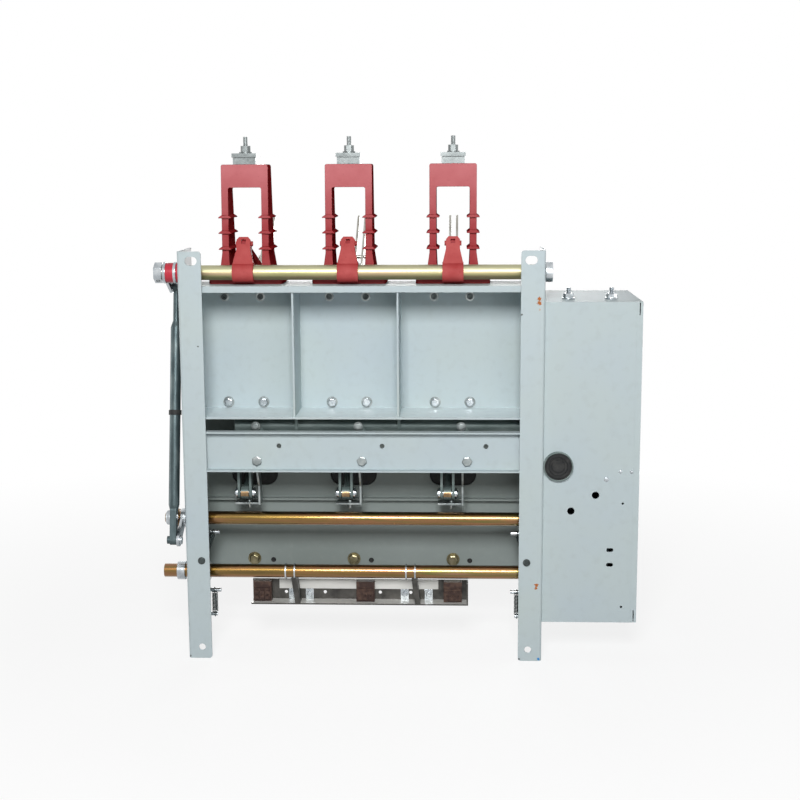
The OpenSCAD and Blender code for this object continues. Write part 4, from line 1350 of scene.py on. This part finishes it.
@dataclass
class IsolatorGear(Assembly):
    """The top shaft with its straps, the rod that drives it and the drive shaft."""

    edge: float = 0.5
    shaft_edge: float = 0.6
    strap_edge: float = 0.9
    hub: Pair = (45.0, 795.0)
    plain_ends: Pair = (-60.8, 705.5)
    plate_radius: float = 21.8
    plate_thick: float = 5.6
    plate_rim: float = 1.2
    plates_x: Pair = (-59.3, -38.3)
    sleeve_radius: float = 20.4
    sleeve_thick: float = 7.4
    sleeve_rim: float = 1.6
    sleeve_x: tuple[float] = (-32.7,)
    red_radius: float = 21.0
    lever_plates: tuple[Pair, ...] = ((-60.0, -53.0), (-39.0, -32.0))
    rod_low: Pair = (-11.29, 255.5)
    rod_run: Pair = (0.2168, 0.9762)
    rod_band: Pair = (252.0, 268.0)
    set_screw_radius: float = 4.2
    set_screw_ends: Pair = (-1.0, 0.5)
    set_screw_socket: Pair = (1.2, 1.2)
    set_screw_edge: float = 0.25
    set_screw_at: tuple[Pair, ...] = ((-69.5, 18.2), (713.0, 20.0))
    collar_radius: float = 15.5
    collar_thick: float = 3.0
    collar_edge: float = 0.4
    collar_steps: tuple[Pair, ...] = ((0.6, 4.5), (2.2, 2.0), (2.4, 0.0), (0.4, 2.0))
    collar_x: float = -61.0
    stub_out: float = 9.8
    drive_z: float = 288.0
    stud_x: float = 8.0
    spring_heights: Pair = (209.0, 258.0)

    def build(self) -> None:
        """Finish the isolator's shaft, straps, rod and springs."""
        shaft = self.rounded("isolator_shaft", Body.ISOLATOR, Paints.PALE_GOLD, self.shaft_edge)
        left, right = self.plain_ends
        self.second_tone(shaft, Paints.ZINC, lambda middle, normal: not left <= middle.x <= right)
        self.hub_disc("hub_plates", (self.plate_radius, self.plate_thick), self.plate_rim, self.plates_x,
                      Paints.ZINC)
        self.hub_disc("hub_sleeve", (self.sleeve_radius, self.sleeve_thick), self.sleeve_rim, self.sleeve_x,
                      Paints.HUB_RED)
        for number in (1, 2, 3):
            self.rounded(f"crank_strap_{number}", Body.ISOLATOR, Paints.STRAP, self.strap_edge)
        lever = self.rounded("end_lever", Body.ISOLATOR, Paints.ZINC, self.edge)
        self.second_tone(lever, Paints.HUB_RED, self.on_red_hub)
        rod = self.rounded("link_rod", Body.LINK_ROD, Paints.ROD_ZINC, self.shaft_edge)
        self.second_tone(rod, Paints.RUBBER, self.on_rod_band)
        self.fit_shaft_end()
        self.set_screws()
        self.rounded("drive_shaft", Body.DRIVE, Paints.GOLD, self.shaft_edge)
        self.rounded("drive_levers", Body.DRIVE, Paints.ZINC, self.edge)
        self.rounded("spring_studs", Body.FRAME, Paints.ZINC, self.edge)
        form = CoilSpring(low_eye=5.0, low_along_y=True)
        self.wind(form, "drive_springs", Body.DRIVE, self.spring_x, self.stud_x, self.spring_heights)

    def hub_disc(self, name: str, size: Pair, rim: float, places: Sequence[float], finish: Finish) -> None:
        """Turn a disc with rimmed ends and fit it on the top shaft.

        Args:
            name: The piece's name.
            size: The disc's radius and thickness.
            rim: The rim's width on its ends, twice its rounding's.
            places: Where each copy starts along X.
            finish: Its finish.
        """
        radius, thick = size
        disc = Bench.step_ends(Bench.drum(radius, 0.0, thick, 48), (rim, 0.0), test=lies_level)
        seats = [((x, *self.hub), Facing.RIGHT, 0.0) for x in places]
        self.seated(name, Bench.soften(disc, rim / 2), seats, Body.ISOLATOR, finish)

    def on_red_hub(self, middle: Vector, normal: Vector) -> bool:
        """Tell whether a face of the end lever is on its red hub."""
        return (abs(normal.x) < 0.5 and math.dist((middle.y, middle.z), self.hub) < self.red_radius
                and not any(low < middle.x < high for low, high in self.lever_plates))

    def on_rod_band(self, middle: Vector, normal: Vector) -> bool:
        """Tell whether a face of the link rod is on the band round its joint."""
        along = (middle.yz - Vector(self.rod_low)).dot(Vector(self.rod_run))
        return self.rod_band[0] < along < self.rod_band[1] and middle.x < 0.0 and abs(normal.z) < 0.9

    def set_screws(self) -> None:
        """Fit the socket set screws in the nut and the collar on the top shaft's ends."""
        screw = Bench.drum(self.set_screw_radius, *self.set_screw_ends, 24)
        Bench.socket(screw, *self.set_screw_socket)
        aim = Facing.FRONT_LOW
        seats = [((x, self.hub[0] + aim.value[1] * reach, self.hub[1] + aim.value[2] * reach), aim, 0.0)
                 for x, reach in self.set_screw_at]
        screw = Bench.soften(screw, self.set_screw_edge)
        self.seated("set_screws", screw, seats, Body.ISOLATOR, Paints.BLACK_OXIDE)

    def fit_shaft_end(self) -> None:
        """Turn the collar on the drive shaft's left end, with the yellow stub in it."""
        collar = Bench.drum(self.collar_radius, 0.0, self.collar_thick, 40)
        Bench.step_ends(collar, *self.collar_steps)
        seats = [((self.collar_x, self.shaft_y, self.drive_z), Facing.LEFT, 0.0)]
        collar = Bench.soften(collar, self.collar_edge)
        end = self.seated("drive_shaft_end", collar, seats, Body.DRIVE, Paints.ZINC)
        self.second_tone(end, Paints.GOLD, lambda middle, normal: middle.x < self.collar_x - self.stub_out)


@dataclass
class EarthGear(Assembly):
    """The lowest shaft with its bar, strip, clamps, contact blocks and springs."""

    edge: float = 0.4
    shaft_edge: float = 0.6
    bar_edge: float = 0.5
    block_edge: float = 0.7
    clamps: Pair = (100.0, 600.0)
    clamp_below: float = 160.0
    dark_above: float = 108.0
    web_front: float = 71.0
    tabs: tuple[float, ...] = (186.1, 221.6, 421.5, 471.6)
    tab_low: Point = (-8.5, -13.0, 0.0)
    tab_high: Point = (8.5, 10.0, 2.6)
    tab_rim: float = 0.8
    tab_z: float = 119.5
    spring_heights: Pair = (81.0, 133.0)

    def build(self) -> None:
        """Finish the earthing gear."""
        self.rounded("earth_shaft", Body.EARTH, Paints.GOLD, self.shaft_edge)
        levers = self.rounded("earth_levers", Body.EARTH, Paints.ZINC, self.edge)
        left, right = self.clamps
        self.second_tone(levers, Paints.DARK_STEEL,
                         lambda middle, normal: left < middle.x < right and middle.z < self.clamp_below)
        bar = self.rounded("earth_bar", Body.EARTH, Paints.PALE_ZINC, self.bar_edge)
        self.second_tone(bar, Paints.DARK_STEEL, lambda middle, normal: middle.z > self.dark_above)
        self.rounded("earth_strip", Body.EARTH, Paints.PALE_ZINC, self.edge)
        self.rounded("contact_blocks", Body.EARTH, Paints.CONTACT, self.block_edge)
        self.bar_tabs()
        form = CoilSpring(low_eye=4.0, low_along_y=False)
        self.wind(form, "earth_springs", Body.EARTH, self.spring_x, self.spring_x, self.spring_heights)

    def bar_tabs(self) -> None:
        """Bolt the small tabs to the bar's web."""
        tab = Bench.step_ends(Bench.block(self.tab_low, self.tab_high), (self.tab_rim, 0.0))
        bolt = HexBolt(corner=5.6, head=3.4).model()
        bolt = Bench.repeat(bolt, "tab_bolt", [((0.0, 0.0, self.tab_high[2]), Facing.UP, 0.0)])
        master = Bench.join([Bench.soften(tab, self.edge), bolt], "tab")
        seats = [((x, self.web_front, self.tab_z), Facing.FRONT, 0.0) for x in self.tabs]
        self.seated("bar_tabs", master, seats, Body.EARTH, Paints.ZINC)


@dataclass
class Studio:
    """The floor, the lamps and the camera."""

    place: Point = (532.5, -2701.3, 1001.0)
    yaw: float = -2.453
    pitch: float = -9.604
    roll: float = -0.325
    focal_pixels: float = 1373.3
    picture: float = 800.0
    sensor: float = 36.0
    world_light: float = 0.11
    floor_white: Colour = (0.30, 0.30, 0.30)
    floor_glow: float = 0.80
    floor_seen: Colour = (0.95, 0.95, 0.95)
    floor_size: float = 60.0
    floor_fade: Pair = (0.7, 1.9)
    middle: Point = (340.0, 130.0, 450.0)
    lamps: tuple[tuple[str, Point, float, float], ...] = (
        ("key", (380.0, -2900.0, 2080.0), 0.9, 92.0),
        ("fill", (1500.0, -3200.0, 700.0), 1.6, 12.0),
        ("back", (300.0, 3300.0, 620.0), 1.8, 60.0),
        ("left", (-2800.0, 300.0, 560.0), 1.2, 18.0),
        ("right", (3400.0, 300.0, 560.0), 1.2, 18.0),
    )

    def camera(self) -> None:
        """Set the camera at the photograph's place and angle."""
        data = bpy.data.cameras.new("camera")
        data.sensor_width = self.sensor
        data.lens = self.focal_pixels / self.picture * self.sensor
        data.clip_end = 100.0
        yaw, pitch, roll = (math.radians(angle) for angle in (self.yaw, self.pitch, self.roll))
        ahead = Vector((math.sin(yaw) * math.cos(pitch), math.cos(yaw) * math.cos(pitch), math.sin(pitch)))
        right = Vector((math.cos(yaw), -math.sin(yaw), 0.0))
        above = right.cross(ahead)
        across = math.cos(roll) * right + math.sin(roll) * above
        upward = math.cos(roll) * above - math.sin(roll) * right
        aim = Matrix((across, upward, -ahead)).transposed().to_4x4()
        camera = bpy.data.objects.new("camera", data)
        camera.matrix_world = Matrix.Translation(Vector(self.place) * MM) @ aim
        bpy.context.scene.collection.objects.link(camera)
        bpy.context.scene.camera = camera

    def lamp(self, name: str, at: Point, size: float, watts: float) -> None:
        """Hang a soft square lamp that looks at the object's middle.

        Args:
            name: The lamp's name.
            at: Its place, in millimetres.
            size: Its side, in metres.
            watts: Its power.
        """
        data = bpy.data.lights.new(name, "AREA")
        data.size = size
        data.energy = watts
        lamp = bpy.data.objects.new(name, data)
        lamp.location = Vector(at) * MM
        lamp.rotation_euler = ((Vector(self.middle) - Vector(at)) * MM).to_track_quat("-Z", "Y").to_euler()
        bpy.context.scene.collection.objects.link(lamp)

    def white_to_eye(self, tree: bpy.types.NodeTree) -> Socket:
        """Add up the rays that show the background itself.

        Args:
            tree: The node tree to add to.

        Returns:
            One for camera, glossy and transmission rays.
        """
        path = tree.nodes.new("ShaderNodeLightPath")
        total = path.outputs["Is Camera Ray"]
        for kind in ("Is Glossy Ray", "Is Transmission Ray"):
            either = tree.nodes.new("ShaderNodeMath")
            either.operation = "MAXIMUM"
            tree.links.new(total, either.inputs[0])
            tree.links.new(path.outputs[kind], either.inputs[1])
            total = either.outputs["Value"]
        return total

    def world(self) -> None:
        """Light the scene all round, and show white behind it."""
        world = bpy.data.worlds.new("studio")
        world.use_nodes = True
        tree = world.node_tree
        background = tree.nodes["Background"]
        background.inputs["Color"].default_value = (1.0, 1.0, 1.0, 1.0)
        level = tree.nodes.new("ShaderNodeMapRange")
        level.inputs["To Min"].default_value = self.world_light
        tree.links.new(self.white_to_eye(tree), level.inputs["Value"])
        tree.links.new(level.outputs["Result"], background.inputs["Strength"])
        bpy.context.scene.world = world

    def floor(self) -> None:
        """Lay a plain white floor that keeps the object's shadow."""
        Bench.clear()
        bpy.ops.mesh.primitive_plane_add(size=self.floor_size)
        floor = bpy.context.object
        floor.name = "floor"
        white = Recipe("floor_white")
        seen = self.white_to_eye(white.tree)
        white.set(Base_Color=white.mix(seen, self.floor_white, self.floor_seen), Roughness=0.9)
        away = white.distance((self.middle[0], self.middle[1], 0.0))
        share = white.maths("MULTIPLY", seen, white.spread(away, *self.floor_fade, self.floor_glow, 1.0))
        glow = white.node("ShaderNodeEmission")
        both = white.node("ShaderNodeMixShader")
        white.link(share, both.inputs["Fac"])
        white.link(white.shader.outputs["BSDF"], both.inputs[1])
        white.link(glow.outputs["Emission"], both.inputs[2])
        white.link(both.outputs["Shader"], white.tree.nodes["Material Output"].inputs["Surface"])
        floor.data.materials.append(white.material)

    def build(self) -> None:
        """Set up the whole studio."""
        bpy.context.scene.view_settings.view_transform = "Standard"
        self.camera()
        self.world()
        self.floor()
        for lamp in self.lamps:
            self.lamp(*lamp)


def main() -> None:
    """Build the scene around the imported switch."""
    logging.basicConfig(level=logging.INFO, format="%(name)s: %(message)s")
    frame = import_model()
    Studio().build()
    for kind in (FrameSteel, MechanismBox, PoleSet, BreakerTrain, IsolatorGear, EarthGear):
        kind(frame["nodes"]).build()
        LOG.info("%s is done", kind.__name__)
    Bench.clear()


if __name__ == "__main__":
    main()
